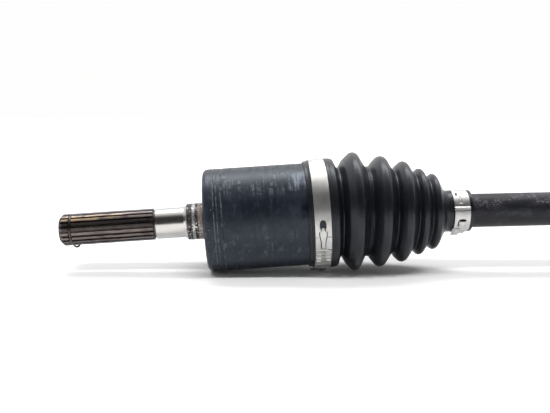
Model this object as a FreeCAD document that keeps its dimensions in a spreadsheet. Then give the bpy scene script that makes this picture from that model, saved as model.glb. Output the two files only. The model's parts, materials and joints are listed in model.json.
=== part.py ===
import FreeCAD, Part
import math
import os

import Sketcher

# Drive axle with a constant-velocity joint at each end.
#
# Row frame: origin at the middle of the bar, +X along the bar towards the
# outboard joint, +Z up, millimetres. Each joint has a frame of its own, with
# its origin at the joint's centre and +X from there towards the bar's middle.
# The inboard shell rests bent a little about the joint's Y axis.

SIZES = [
    # whole axle
    ("joint_spacing", 350.0, "between the two joint centres"),
    ("rest_bend", 2.5, "degrees the inboard shell hangs below the bar's line"),
    ("running_gap", 0.05, "radial gap between parts that move on each other"),
    ("cut_overrun", 0.1, "how far a tool runs past the face that it opens"),
    ("edge_chamfer", 0.8, "chamfer of a shell's edges"),
    ("flute_overrun", 0.5, "how far a flute's section runs past the teeth"),
    # bar
    ("bar_radius", 10.9, "plain bar"),
    ("bar_neck_radius", 9.5, "where the bar passes through a joint's mouth"),
    ("bar_seat_radius", 9.3, "splined seat of an inner race, over its teeth"),
    ("bar_seat_depth", 0.7, "depth of the seat's spline grooves"),
    ("bar_seat_teeth", 24, "teeth on each seat"),
    ("bar_flute_top", 1.5, "seat groove's width at the top"),
    ("bar_flute_root", 0.9, "seat groove's width at the root"),
    ("bar_seat_chamfer", 1.0, "chamfer of a seat's ends"),
    ("bar_seat_margin", 0.2, "seat beyond its race's face"),
    ("bar_end_overhang", 4.5, "bar end beyond its inner race"),
    ("bar_taper", 5.0, "length of the taper from neck to plain bar"),
    ("race_clip_wire", 0.9, "wire radius of a race's retaining ring"),
    # inboard joint: eight balls between straight tracks, free to plunge
    ("ib_ball_count", 8, "balls"),
    ("ib_ball_radius", 5.5, "ball"),
    ("ib_ball_circle", 23.0, "radius of the circle through the ball centres"),
    ("ib_track_gap", 0.4, "track radius beyond the ball radius"),
    ("ib_cage_outer", 25.4, "cage's outer sphere"),
    ("ib_cage_inner", 20.6, "cage's inner sphere"),
    ("ib_cage_half_width", 9.0, "cage's middle to its end face"),
    ("ib_window_length", 11.9, "cage window along the circumference"),
    ("ib_race_outer", 20.5, "inner race's sphere"),
    ("ib_race_half_width", 9.0, "inner race's middle to its end face"),
    ("ib_neck_end", 44.0, "end of the bar's neck from the joint centre"),
    # inboard shell
    ("ib_tip", 149.6, "joint centre to the splined tip"),
    ("ib_tip_radius", 8.0, "end face at the tip"),
    ("ib_tip_chamfer", 2.1, "length of the tip's chamfer"),
    ("ib_clip_groove", 142.5, "joint centre to the stub clip's groove"),
    ("ib_clip_groove_width", 1.9, "width of that groove"),
    ("ib_clip_groove_radius", 8.7, "bottom of that groove"),
    ("ib_clip_wire", 0.85, "wire radius of the stub clip"),
    ("ib_spline_end", 90.2, "joint centre to the end of the stub's teeth"),
    ("ib_spline_radius", 10.05, "over the stub's teeth"),
    ("ib_spline_depth", 1.15, "depth of the stub's flutes"),
    ("ib_spline_teeth", 20, "teeth on the stub"),
    ("ib_flute_top", 1.75, "flute width at the top"),
    ("ib_flute_root", 0.95, "flute width at the root"),
    ("ib_relief_radius", 8.85, "relief after the teeth"),
    ("ib_relief_width", 1.2, "length of that relief"),
    ("ib_relief_chamfer", 0.6, "slope from the relief to the journal"),
    ("ib_journal_radius", 9.8, "ground journal"),
    ("ib_journal_end", 70.6, "joint centre to the journal's end"),
    ("ib_collar_start", 68.8, "joint centre to the seal collar"),
    ("ib_collar_radius", 11.65, "seal collar"),
    ("ib_collar_rise", 1.2, "slope's rise from the journal to the collar's edge"),
    ("ib_collar_edge", 0.5, "length of the collar's rounded edge"),
    ("ib_face", 56.9, "joint centre to the shell's closed face"),
    ("ib_shell_radius", 32.9, "outside of the shell"),
    ("ib_shell_round", 3.2, "rounding of the closed end's edge"),
    ("ib_score_depth", 0.25, "depth of the three fine turned rings"),
    ("ib_score_width", 0.7, "width of each fine ring"),
    ("ib_score_first", 50.1, "joint centre to the first fine ring"),
    ("ib_score_second", 48.2, "joint centre to the second fine ring"),
    ("ib_score_third", 45.3, "joint centre to the third fine ring"),
    ("ib_floor", 45.0, "joint centre to the floor of the bore"),
    ("ib_floor_bevel", 4.0, "length of the bevel round the bore's floor"),
    ("ib_floor_inset", 5.0, "height of the bevel round the bore's floor"),
    ("ib_bore_radius", 25.5, "bore that the cage slides in"),
    ("ib_mouth", 24.0, "joint centre to the open end"),
    ("ib_stop_ring", 21.4, "joint centre to the stop ring's groove"),
    ("ib_stop_wire", 0.9, "wire radius of the stop ring"),
    ("ib_stop_circle", 25.85, "radius of the stop ring's wire centre"),
    ("ib_boot_groove_start", 13.0, "start of the boot's groove"),
    ("ib_boot_groove_end", 18.5, "end of the boot's groove"),
    ("ib_boot_groove_depth", 0.7, "depth of the boot's groove"),
    # inboard boot
    ("ib_boot_lip", 7.2, "joint centre to the boot's lip"),
    ("ib_lip_radius", 34.0, "boot at its lip"),
    ("ib_cuff_radius", 34.45, "boot under its large clamp"),
    ("ib_clamp_start", 10.5, "near edge of the large clamp"),
    ("ib_clamp_width", 10.0, "width of the large clamp's band"),
    ("ib_clamp_band", 0.7, "thickness of the band"),
    ("ib_cuff_bead_radius", 35.15, "bead that keeps the clamp on"),
    ("ib_cuff_end", 24.2, "end of the bead"),
    ("ib_collar_bead_end", 116.0, "end of the boot's small collar"),
    ("ib_boot_collar", 98.0, "start of the small collar"),
    ("ib_small_clamp_start", 101.5, "near edge of the small clamp"),
    ("ib_small_clamp_width", 10.0, "width of the small clamp's band"),
    ("boot_wall", 2.2, "thickness of a boot's bellows"),
    ("boot_collar_radius", 13.1, "boot under its small clamp"),
    ("boot_collar_rim", 0.3, "height of the rims beside the small clamp"),
    ("boot_lip_step", 0.2, "step from the lip's slope down to the clamp's seat"),
    ("clamp_side_gap", 0.3, "clamp's edge to the rim beside it"),
    ("small_clamp_band", 0.6, "thickness of the small clamp's band"),
    # outboard joint: six balls between curved tracks, fixed centre
    ("ob_ball_count", 6, "balls"),
    ("ob_ball_radius", 7.0, "ball"),
    ("ob_ball_circle", 28.0, "radius of the circle through the ball centres"),
    ("ob_track_gap", 0.75, "track radius beyond the ball radius"),
    ("ob_cage_outer", 31.0, "cage's outer sphere"),
    ("ob_cage_inner", 25.4, "cage's inner sphere"),
    ("ob_cage_half_width", 11.0, "cage's middle to its end face"),
    ("ob_window_length", 15.6, "cage window along the circumference"),
    ("ob_race_outer", 25.3, "inner race's sphere"),
    ("ob_race_half_width", 11.0, "inner race's middle to its end face"),
    ("ob_neck_end", 40.0, "end of the bar's neck from the joint centre"),
    # outboard shell
    ("ob_tip", 122.0, "joint centre to the threaded tip"),
    ("ob_tip_chamfer", 1.5, "chamfer of the threaded tip"),
    ("ob_thread_start", 100.0, "joint centre to the thread's inner end"),
    ("ob_thread_radius", 9.9, "over the thread"),
    ("ob_thread_pitch", 1.5, "pitch of the thread"),
    ("ob_thread_depth", 0.92, "depth of the thread"),
    ("ob_thread_runout", 4.0, "length without thread at its inner end"),
    ("ob_undercut_length", 1.5, "undercut between thread and hub teeth"),
    ("ob_undercut_depth", 1.0, "depth and slope of that undercut"),
    ("ob_pin_hole", 114.0, "joint centre to the split-pin hole"),
    ("ob_pin_hole_radius", 2.0, "split-pin hole"),
    ("ob_spline_end", 66.0, "joint centre to the end of the hub teeth"),
    ("ob_spline_radius", 12.6, "over the hub teeth"),
    ("ob_spline_depth", 1.2, "depth of the hub flutes"),
    ("ob_spline_teeth", 26, "hub teeth"),
    ("ob_spline_chamfer", 1.2, "chamfer at the outer end of the hub teeth"),
    ("ob_flute_top", 1.7, "hub flute width at the top"),
    ("ob_flute_root", 0.95, "hub flute width at the root"),
    ("ob_relief_radius", 11.2, "relief between teeth and bearing seat"),
    ("ob_relief_width", 1.5, "length of that relief"),
    ("ob_bearing_radius", 15.0, "wheel bearing seat"),
    ("ob_bearing_chamfer", 1.0, "chamfer of the bearing seat"),
    ("ob_shoulder", 42.0, "joint centre to the hub shoulder's face"),
    ("ob_shoulder_radius", 22.0, "hub shoulder"),
    ("ob_shoulder_length", 6.0, "length of the hub shoulder"),
    ("ob_cone_step", 4.0, "cone's small end over the shoulder"),
    ("ob_cone_end", 26.0, "joint centre to the end of the shell's cone"),
    ("ob_shell_radius", 40.5, "outside of the shell"),
    ("ob_shell_round", 2.5, "rounding at the cone's end"),
    ("ob_bore_radius", 31.1, "spherical bore that the cage turns in"),
    ("ob_mouth", 17.0, "joint centre to the open end"),
    ("ob_mouth_radius", 33.5, "flared mouth at the open end"),
    ("ob_flare_start", 9.0, "joint centre to the start of the flare"),
    ("ob_flare_height", 4.5, "how far the flare opens"),
    # outboard boot
    ("ob_boot_lip", -1.0, "joint centre to the boot's lip"),
    ("ob_lip_radius", 41.7, "boot at its lip"),
    ("ob_cuff_radius", 42.1, "boot under its large clamp"),
    ("ob_clamp_start", 2.5, "near edge of the large clamp"),
    ("ob_clamp_width", 10.0, "width of the large clamp's band"),
    ("ob_clamp_band", 0.7, "thickness of the band"),
    ("ob_cuff_bead_radius", 42.8, "bead that keeps the clamp on"),
    ("ob_cuff_end", 16.5, "end of the bead"),
    ("ob_boot_collar", 98.0, "start of the small collar"),
    ("ob_small_clamp_start", 101.5, "near edge of the small clamp"),
    ("ob_small_clamp_width", 10.0, "width of the small clamp's band"),
    ("ob_collar_bead_end", 116.0, "end of the boot's small collar"),
]

# Bellows of each boot: for every fold, its crest's place and radius and the
# radius of its rounding, then the same for the valley that follows it.
IB_FIRST_VALLEY = (29.2, 28.6, 1.6)
IB_FOLDS = [
    ((38.6, 38.0, 3.6), (46.9, 26.6, 1.5)),
    ((55.0, 35.5, 3.2), (63.2, 26.9, 1.4)),
    ((69.3, 32.1, 2.7), (76.3, 25.4, 1.3)),
    ((80.6, 27.7, 1.9), (85.9, 22.3, 1.1)),
    ((90.0, 24.3, 1.9), (96.0, 14.8, 1.4)),
]
OB_FIRST_VALLEY = (22.0, 34.5, 1.8)
OB_FOLDS = [
    ((31.5, 45.0, 3.6), (40.0, 31.6, 1.6)),
    ((48.5, 41.0, 3.2), (56.5, 28.8, 1.5)),
    ((64.0, 35.6, 2.8), (71.5, 25.4, 1.4)),
    ((77.5, 29.6, 2.2), (83.6, 21.6, 1.2)),
    ((88.8, 24.0, 1.9), (96.2, 14.8, 1.5)),
]

X_AXIS = FreeCAD.Vector(1, 0, 0)
Y_AXIS = FreeCAD.Vector(0, 1, 0)
Z_AXIS = FreeCAD.Vector(0, 0, 1)
ORIGIN = FreeCAD.Vector(0, 0, 0)
FULL_TURN = 360
TRACK_SWEEP = 100  # degrees of arc that a curved track's tool covers
LAP_DEGREES = 75  # arc over which a clamp's band lies double
LAP_INSET = 0.07  # the lap stops this share of the width short of each edge
SLOT_SHARE = 0.42  # width of a clamp's hook slot in its band
SLOT_TURN = 48  # degrees from the lap's start to the slot
SLOT_LENGTH = 6.5  # longest slot, round the clamp
SLOT_REACH = 0.4  # and its longest share of the clamp's radius
EAR_SHARE = 0.7  # width of a clamp's ear in its band
EAR_LENGTH = 3.2  # ear's length round the clamp
EAR_BANDS = 3.6  # ear's height in band thicknesses
CREST_STAND_OFF = 0.75  # sharp crest corner over the rounded crest, in roundings
VALLEY_STAND_OFF = -0.45  # the same at a valley
SLANTED_WALL = 1.45  # radial height of a flank's wall over its thickness
THREAD_SHARE = 0.62  # share of the pitch that a thread groove takes
CUFF_ROUND = 1.2  # rounding of the cuff's shoulder
SHOULDER_FOOT = (1.2, 0.9, 1.0)  # before the first valley, over it, rounding
CUFF_OVERLAP = 1.4  # how far the cuff's solid runs into the bellows
THINNEST_ROUND = 0.8  # smallest rounding inside a crest
COLLAR_OVERLAP = 2.0  # how far the collar's bore runs into the last fold
BOOT_SEAM_TURN = 25  # degrees that keep a boot's seam off the clamps' ears

doc = FreeCAD.newDocument("CvAxle")
sheet = doc.addObject("Spreadsheet::Sheet", "Sizes")
for row, (alias, value, meaning) in enumerate(SIZES, start=1):
    sheet.set(f"A{row}", alias)
    sheet.set(f"B{row}", str(value))
    sheet.set(f"C{row}", meaning)
    sheet.setAlias(f"B{row}", alias)
doc.recompute()

finished = []


def size(expression):
    """Value of an expression in the sheet's aliases."""
    return float(sheet.evalExpression(expression))


def finish(part, name, placement):
    """Name a finished part and put it in its place in the row frame."""
    part.Label = name
    part.Placement = placement
    finished.append(part)
    return part


def turned_about(axis, degrees, place=ORIGIN):
    """Placement that turns about an axis and then moves."""
    return FreeCAD.Placement(place, FreeCAD.Rotation(axis, degrees))


# ---------------------------------------------------------------- placements
half_spacing = size("Sizes.joint_spacing / 2")
rest_bend = size("Sizes.rest_bend")
AT_INBOARD = turned_about(Z_AXIS, 0, FreeCAD.Vector(-half_spacing, 0, 0))
AT_OUTBOARD = turned_about(Z_AXIS, 180, FreeCAD.Vector(half_spacing, 0, 0))
IB_SHELL = AT_INBOARD * turned_about(Y_AXIS, -rest_bend)
IB_CAGE = AT_INBOARD * turned_about(Y_AXIS, -rest_bend / 2)


# ------------------------------------------------------------ PartDesign help
def origin_part(body, role):
    """A plane or an axis of the body's own origin."""
    return next(o for o in body.Origin.OriginFeatures if o.Role == role)


def outline(body, name, corners, plane="XZ_Plane"):
    """Closed sketch through corners given as pairs of sheet expressions."""
    sketch = body.newObject("Sketcher::SketchObject", name)
    sketch.AttachmentSupport = (origin_part(body, plane), [""])
    sketch.MapMode = "FlatFace"
    places = [(size(across), size(up)) for across, up in corners]
    count = len(corners)
    for i, place in enumerate(places):
        start = FreeCAD.Vector(*place, 0)
        end = FreeCAD.Vector(*places[(i + 1) % count], 0)
        sketch.addGeometry(Part.LineSegment(start, end), False)
    for i in range(count):
        following = (i + 1) % count
        sketch.addConstraint(Sketcher.Constraint("Coincident", i, 2, following, 1))
    for i, corner in enumerate(corners):
        for kind, expression, value in zip(("DistanceX", "DistanceY"), corner, places[i]):
            made = Sketcher.Constraint(kind, -1, 1, i, 1, value)
            index = sketch.addConstraint(made)
            sketch.setExpression(f"Constraints[{index}]", expression)
    return sketch


def turned(body, corners):
    """Solid of revolution about the body's X axis."""
    sketch = outline(body, "Section", corners)
    revolution = body.newObject("PartDesign::Revolution", "Turned")
    revolution.Profile = sketch
    revolution.ReferenceAxis = (sketch, ["H_Axis"])
    revolution.Angle = FULL_TURN
    doc.recompute()
    return revolution


def cut_around(body, name, corners, start, length, count):
    """Pocket along +X from start, repeated evenly round the X axis."""
    before = body.Shape.Volume
    sketch = outline(body, name + "Section", corners, "YZ_Plane")
    sketch.setExpression("AttachmentOffset.Base.z", start)
    pocket = body.newObject("PartDesign::Pocket", name)
    pocket.Profile = sketch
    pocket.Type = 0
    pocket.Reversed = True
    pocket.setExpression("Length", length)
    doc.recompute()
    pattern = body.newObject("PartDesign::PolarPattern", name + "Pattern")
    pattern.Originals = [pocket]
    pattern.Axis = (origin_part(body, "X_Axis"), [""])
    pattern.Angle = FULL_TURN
    pattern.setExpression("Occurrences", count)
    body.Tip = pattern
    doc.recompute()
    if not body.Shape.Volume < before - 1:
        raise RuntimeError(f"{body.Name}: {name} removes nothing")
    return pattern


def flute(prefix):
    """Section of one spline flute, open past the teeth, on the +Z side."""
    root = f"Sizes.{prefix}_spline_radius - Sizes.{prefix}_spline_depth"
    top = f"Sizes.{prefix}_spline_radius + Sizes.flute_overrun"
    return [
        (f"-Sizes.{prefix}_flute_root / 2", root),
        (f"Sizes.{prefix}_flute_root / 2", root),
        (f"Sizes.{prefix}_flute_top / 2", top),
        (f"-Sizes.{prefix}_flute_top / 2", top),
    ]


def round_edges(body, feature, at, radius_of_edge, fillet_expression):
    """Fillet the circular edges that stand at one place along X."""
    names = []
    for index, edge in enumerate(feature.Shape.Edges, start=1):
        circle = edge.Curve
        if not isinstance(circle, Part.Circle):
            continue
        if abs(circle.Center.x - at) < 0.01 and abs(circle.Radius - radius_of_edge) < 0.01:
            names.append(f"Edge{index}")
    fillet = body.newObject("PartDesign::Fillet", "Rounded")
    fillet.Base = (feature, names)
    fillet.setExpression("Radius", fillet_expression)
    doc.recompute()
    return fillet


# ------------------------------------------------------------------ Part help
def sphere(name, radius):
    """Part sphere at the origin."""
    made = doc.addObject("Part::Sphere", name)
    made.setExpression("Radius", radius)
    return made


def rod_along_x(name, radius, start, length):
    """Part cylinder about the X axis, from start."""
    made = doc.addObject("Part::Cylinder", name)
    made.setExpression("Radius", radius)
    made.setExpression("Height", length)
    made.Placement = turned_about(Y_AXIS, 90, FreeCAD.Vector(size(start), 0, 0))
    return made


def ring_tool(name, circle, wire, turn):
    """Arc of a torus in a plane through the X axis, its middle at X = 0."""
    made = doc.addObject("Part::Torus", name)
    made.setExpression("Radius1", circle)
    made.setExpression("Radius2", wire)
    made.Angle3 = TRACK_SWEEP
    to_middle = turned_about(Z_AXIS, 90 - TRACK_SWEEP / 2)
    made.Placement = turned_about(X_AXIS, turn) * to_middle
    return made


def joined(name, parts):
    """Union of several objects."""
    made = doc.addObject("Part::MultiFuse", name)
    made.Shapes = parts
    return made


def cut(name, base, tool):
    """Base less tool."""
    made = doc.addObject("Part::Cut", name)
    made.Base = base
    made.Tool = tool
    return made


def common(name, parts):
    """What several objects share."""
    made = doc.addObject("Part::MultiCommon", name)
    made.Shapes = parts
    return made


def curved_tracks(name, prefix):
    """Tools for the tracks: one arc of a ring for each ball."""
    count = int(size(f"Sizes.{prefix}_ball_count"))
    circle = f"Sizes.{prefix}_ball_circle"
    wire = f"Sizes.{prefix}_ball_radius + Sizes.{prefix}_track_gap"
    rings = [
        ring_tool(f"{name}{k}", circle, wire, FULL_TURN * k / count) for k in range(count)
    ]
    return joined(name, rings)


# ----------------------------------------------------------------- joint core
def make_inner_race(side, prefix, placement):
    """Inner race: a slice of a sphere with a curved track for each ball."""
    width = f"Sizes.{prefix}_race_half_width"
    ball = sphere(f"{prefix}RaceSphere", f"Sizes.{prefix}_race_outer")
    slab = rod_along_x(
        f"{prefix}RaceSlab", f"Sizes.{prefix}_race_outer + 1", f"-{width}", f"2 * {width}"
    )
    blank = common(f"{prefix}RaceBlank", [ball, slab])
    bore = rod_along_x(
        f"{prefix}RaceBore", "Sizes.bar_seat_radius", f"-{width} - 1", f"2 * {width} + 2"
    )
    tools = joined(f"{prefix}RaceTools", [bore, curved_tracks(f"{prefix}RaceTrack", prefix)])
    race = cut(f"{prefix}Race", blank, tools)
    finish(race, f"{side}_inner_race", placement)


def make_cage(side, prefix, placement):
    """Ball cage: a spherical band with a window for each ball."""
    width = f"Sizes.{prefix}_cage_half_width"
    outer = sphere(f"{prefix}CageOuter", f"Sizes.{prefix}_cage_outer")
    slab = rod_along_x(
        f"{prefix}CageSlab", f"Sizes.{prefix}_cage_outer + 1", f"-{width}", f"2 * {width}"
    )
    blank = common(f"{prefix}CageBlank", [outer, slab])
    hollow = sphere(f"{prefix}CageInner", f"Sizes.{prefix}_cage_inner")
    count = int(size(f"Sizes.{prefix}_ball_count"))
    length = f"Sizes.{prefix}_window_length"
    across = f"2 * (Sizes.{prefix}_ball_radius + Sizes.running_gap / 2)"
    windows = []
    for k in range(count):
        window = doc.addObject("Part::Box", f"{prefix}Window{k}")
        window.setExpression("Length", across)
        window.setExpression("Width", length)
        window.setExpression("Height", f"Sizes.{prefix}_cage_outer + 2")
        corner = FreeCAD.Vector(-size(across) / 2, -size(length) / 2, 0)
        upright = FreeCAD.Placement(corner, FreeCAD.Rotation())
        window.Placement = turned_about(X_AXIS, FULL_TURN * k / count - 90) * upright
        windows.append(window)
    cage = cut(f"{prefix}Cage", blank, joined(f"{prefix}CageTools", [hollow, *windows]))
    finish(cage, f"{side}_cage", placement)


def make_balls(side, prefix, placement):
    """Balls on their circle, the first on the joint's +Y side."""
    count = int(size(f"Sizes.{prefix}_ball_count"))
    circle = size(f"Sizes.{prefix}_ball_circle")
    for k in range(count):
        turn = 2 * math.pi * k / count
        ball = sphere(f"{prefix}Ball{k + 1}", f"Sizes.{prefix}_ball_radius")
        place = FreeCAD.Vector(0, circle * math.cos(turn), circle * math.sin(turn))
        at = FreeCAD.Placement(place, FreeCAD.Rotation())
        finish(ball, f"{side}_ball_{k + 1}", placement * at)


def make_wire_ring(name, circle, wire, at, open_degrees, placement, turn=0):
    """Open ring of round wire about the X axis, its gap turned to one side."""
    ring = doc.addObject("Part::Torus", name.title().replace("_", ""))
    ring.setExpression("Radius1", circle)
    ring.setExpression("Radius2", wire)
    ring.Angle3 = FULL_TURN - open_degrees
    across = turned_about(Y_AXIS, 90, FreeCAD.Vector(size(at), 0, 0))
    finish(ring, name, placement * turned_about(X_AXIS, turn) * across)


# ------------------------------------------------------------------------ bar
def bar_end(prefix):
    """Corners of one bar end, from the joint's neck out to the bar's tip."""
    race = f"Sizes.{prefix}_race_half_width"
    seat = "Sizes.bar_seat_radius"
    end = f"({race} + Sizes.bar_end_overhang)"
    clip = f"({race} + Sizes.race_clip_wire)"
    clip_root = f"({seat} - Sizes.race_clip_wire)"
    return [
        (f"Sizes.{prefix}_neck_end + Sizes.bar_taper", "Sizes.bar_radius"),
        (f"Sizes.{prefix}_neck_end", "Sizes.bar_neck_radius"),
        (f"{race} + Sizes.bar_seat_chamfer", "Sizes.bar_neck_radius"),
        (f"{race} + Sizes.bar_seat_margin", seat),
        (f"-{clip} + Sizes.race_clip_wire", seat),
        (f"-{clip} + Sizes.race_clip_wire", clip_root),
        (f"-{clip} - Sizes.race_clip_wire", clip_root),
        (f"-{clip} - Sizes.race_clip_wire", seat),
        (f"-{end} + Sizes.bar_seat_chamfer", seat),
        (f"-{end}", f"{seat} - Sizes.bar_seat_chamfer"),
    ]


def make_bar():
    """One-piece bar with a splined race seat at each end."""
    half = "Sizes.joint_spacing / 2"
    inboard = [(f"{x} - {half}", r) for x, r in bar_end("ib")]
    outboard = [(f"{half} - ({x})", r) for x, r in bar_end("ob")]
    left_end = (inboard[-1][0], "0")
    right_end = (outboard[-1][0], "0")
    body = doc.addObject("PartDesign::Body", "Bar")
    corners = [left_end, *reversed(inboard), *outboard, right_end]
    turned(body, corners)
    root = "Sizes.bar_seat_radius - Sizes.bar_seat_depth"
    top = "Sizes.bar_seat_radius + Sizes.flute_overrun"
    section = [
        ("-Sizes.bar_flute_root / 2", root),
        ("Sizes.bar_flute_root / 2", root),
        ("Sizes.bar_flute_top / 2", top),
        ("-Sizes.bar_flute_top / 2", top),
    ]
    starts = {
        "ib": f"-{half} - (Sizes.ib_race_half_width + Sizes.bar_end_overhang)",
        "ob": f"{half} - Sizes.ob_race_half_width - Sizes.cut_overrun",
    }
    for prefix, start in starts.items():
        race = f"2 * Sizes.{prefix}_race_half_width"
        length = f"{race} + Sizes.bar_end_overhang + Sizes.cut_overrun"
        cut_around(body, f"{prefix}Seat", section, start, length, "Sizes.bar_seat_teeth")
    finish(body, "axle_bar", FreeCAD.Placement())


# ------------------------------------------------------------- inboard shell
def score(at):
    """Corners of one fine ring turned into the shell."""
    shell = "Sizes.ib_shell_radius"
    bottom = f"{shell} - Sizes.ib_score_depth"
    half = "Sizes.ib_score_width / 2"
    return [
        (f"-Sizes.{at} - {half}", shell),
        (f"-Sizes.{at}", bottom),
        (f"-Sizes.{at} + {half}", shell),
    ]


def make_inboard_shell():
    """Splined stub and smooth round shell with straight ball tracks inside."""
    stub = "Sizes.ib_spline_radius"
    groove = "Sizes.ib_clip_groove"
    half_groove = "Sizes.ib_clip_groove_width / 2"
    relief_end = "-Sizes.ib_spline_end + Sizes.ib_relief_width"
    stop_near = "Sizes.ib_stop_ring - Sizes.ib_stop_wire"
    stop_far = "Sizes.ib_stop_ring + Sizes.ib_stop_wire"
    stop_root = "Sizes.ib_stop_circle + Sizes.ib_stop_wire"
    shell = "Sizes.ib_shell_radius"
    seat = f"{shell} - Sizes.ib_boot_groove_depth"
    floor_bevel = "-Sizes.ib_floor + Sizes.ib_floor_bevel"
    corners = [
        ("-Sizes.ib_tip", "0"),
        ("-Sizes.ib_tip", "Sizes.ib_tip_radius"),
        ("-Sizes.ib_tip + Sizes.ib_tip_chamfer", stub),
        (f"-{groove} - {half_groove}", stub),
        (f"-{groove} - {half_groove}", "Sizes.ib_clip_groove_radius"),
        (f"-{groove} + {half_groove}", "Sizes.ib_clip_groove_radius"),
        (f"-{groove} + {half_groove}", stub),
        ("-Sizes.ib_spline_end", stub),
        ("-Sizes.ib_spline_end", "Sizes.ib_relief_radius"),
        (relief_end, "Sizes.ib_relief_radius"),
        (f"{relief_end} + Sizes.ib_relief_chamfer", "Sizes.ib_journal_radius"),
        ("-Sizes.ib_journal_end", "Sizes.ib_journal_radius"),
        ("-Sizes.ib_collar_start", "Sizes.ib_journal_radius + Sizes.ib_collar_rise"),
        ("-Sizes.ib_collar_start + Sizes.ib_collar_edge", "Sizes.ib_collar_radius"),
        ("-Sizes.ib_face - Sizes.ib_relief_chamfer", "Sizes.ib_collar_radius"),
        ("-Sizes.ib_face", "Sizes.ib_collar_radius + Sizes.ib_relief_chamfer"),
        ("-Sizes.ib_face", shell),
        *score("ib_score_first"),
        *score("ib_score_second"),
        *score("ib_score_third"),
        ("Sizes.ib_boot_groove_start", shell),
        ("Sizes.ib_boot_groove_start", seat),
        ("Sizes.ib_boot_groove_end", seat),
        ("Sizes.ib_boot_groove_end", shell),
        ("Sizes.ib_mouth - Sizes.edge_chamfer", shell),
        ("Sizes.ib_mouth", f"{shell} - Sizes.edge_chamfer"),
        ("Sizes.ib_mouth", "Sizes.ib_bore_radius + Sizes.edge_chamfer"),
        ("Sizes.ib_mouth - Sizes.edge_chamfer", "Sizes.ib_bore_radius"),
        (stop_far, "Sizes.ib_bore_radius"),
        (stop_far, stop_root),
        (stop_near, stop_root),
        (stop_near, "Sizes.ib_bore_radius"),
        (floor_bevel, "Sizes.ib_bore_radius"),
        ("-Sizes.ib_floor", "Sizes.ib_bore_radius - Sizes.ib_floor_inset"),
        ("-Sizes.ib_floor", "0"),
    ]
    body = doc.addObject("PartDesign::Body", "InboardShell")
    turning = turned(body, corners)
    at = -size("Sizes.ib_face")
    round_edges(body, turning, at, size(shell), "Sizes.ib_shell_round")
    flute_length = "Sizes.ib_tip - Sizes.ib_spline_end + Sizes.ib_relief_width / 2"
    cut_around(
        body, "Flute", flute("ib"), "-Sizes.ib_tip", flute_length, "Sizes.ib_spline_teeth"
    )
    count = int(size("Sizes.ib_ball_count"))
    out = FreeCAD.Placement(FreeCAD.Vector(0, size("Sizes.ib_ball_circle"), 0), FreeCAD.Rotation())
    tracks = []
    for k in range(count):
        track = rod_along_x(
            f"IbTrack{k + 1}",
            "Sizes.ib_ball_radius + Sizes.ib_track_gap",
            floor_bevel,
            f"Sizes.ib_mouth - ({floor_bevel}) + Sizes.cut_overrun",
        )
        track.Placement = turned_about(X_AXIS, FULL_TURN * k / count) * out * track.Placement
        tracks.append(track)
    shell_cut = cut("IbShellCut", body, joined("IbTracks", tracks))
    finish(shell_cut, "inboard_cup", IB_SHELL)


# ------------------------------------------------------------ outboard shell
def thread_corners():
    """Corners of a ring-grooved thread from the tip to its inner end."""
    start = size("-Sizes.ob_tip + Sizes.ob_tip_chamfer")
    pitch = size("Sizes.ob_thread_pitch")
    threaded = size("Sizes.ob_tip - Sizes.ob_thread_start - Sizes.ob_thread_runout")
    turns = int(threaded / pitch)
    half_groove = THREAD_SHARE * pitch / 2
    top = "Sizes.ob_thread_radius"
    root = "Sizes.ob_thread_radius - Sizes.ob_thread_depth"
    corners = []
    for k in range(turns):
        at = start + (k + 0.5) * pitch
        corners += [
            (f"{at - half_groove:.4f}", top),
            (f"{at:.4f}", root),
            (f"{at + half_groove:.4f}", top),
        ]
    return corners


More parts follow.
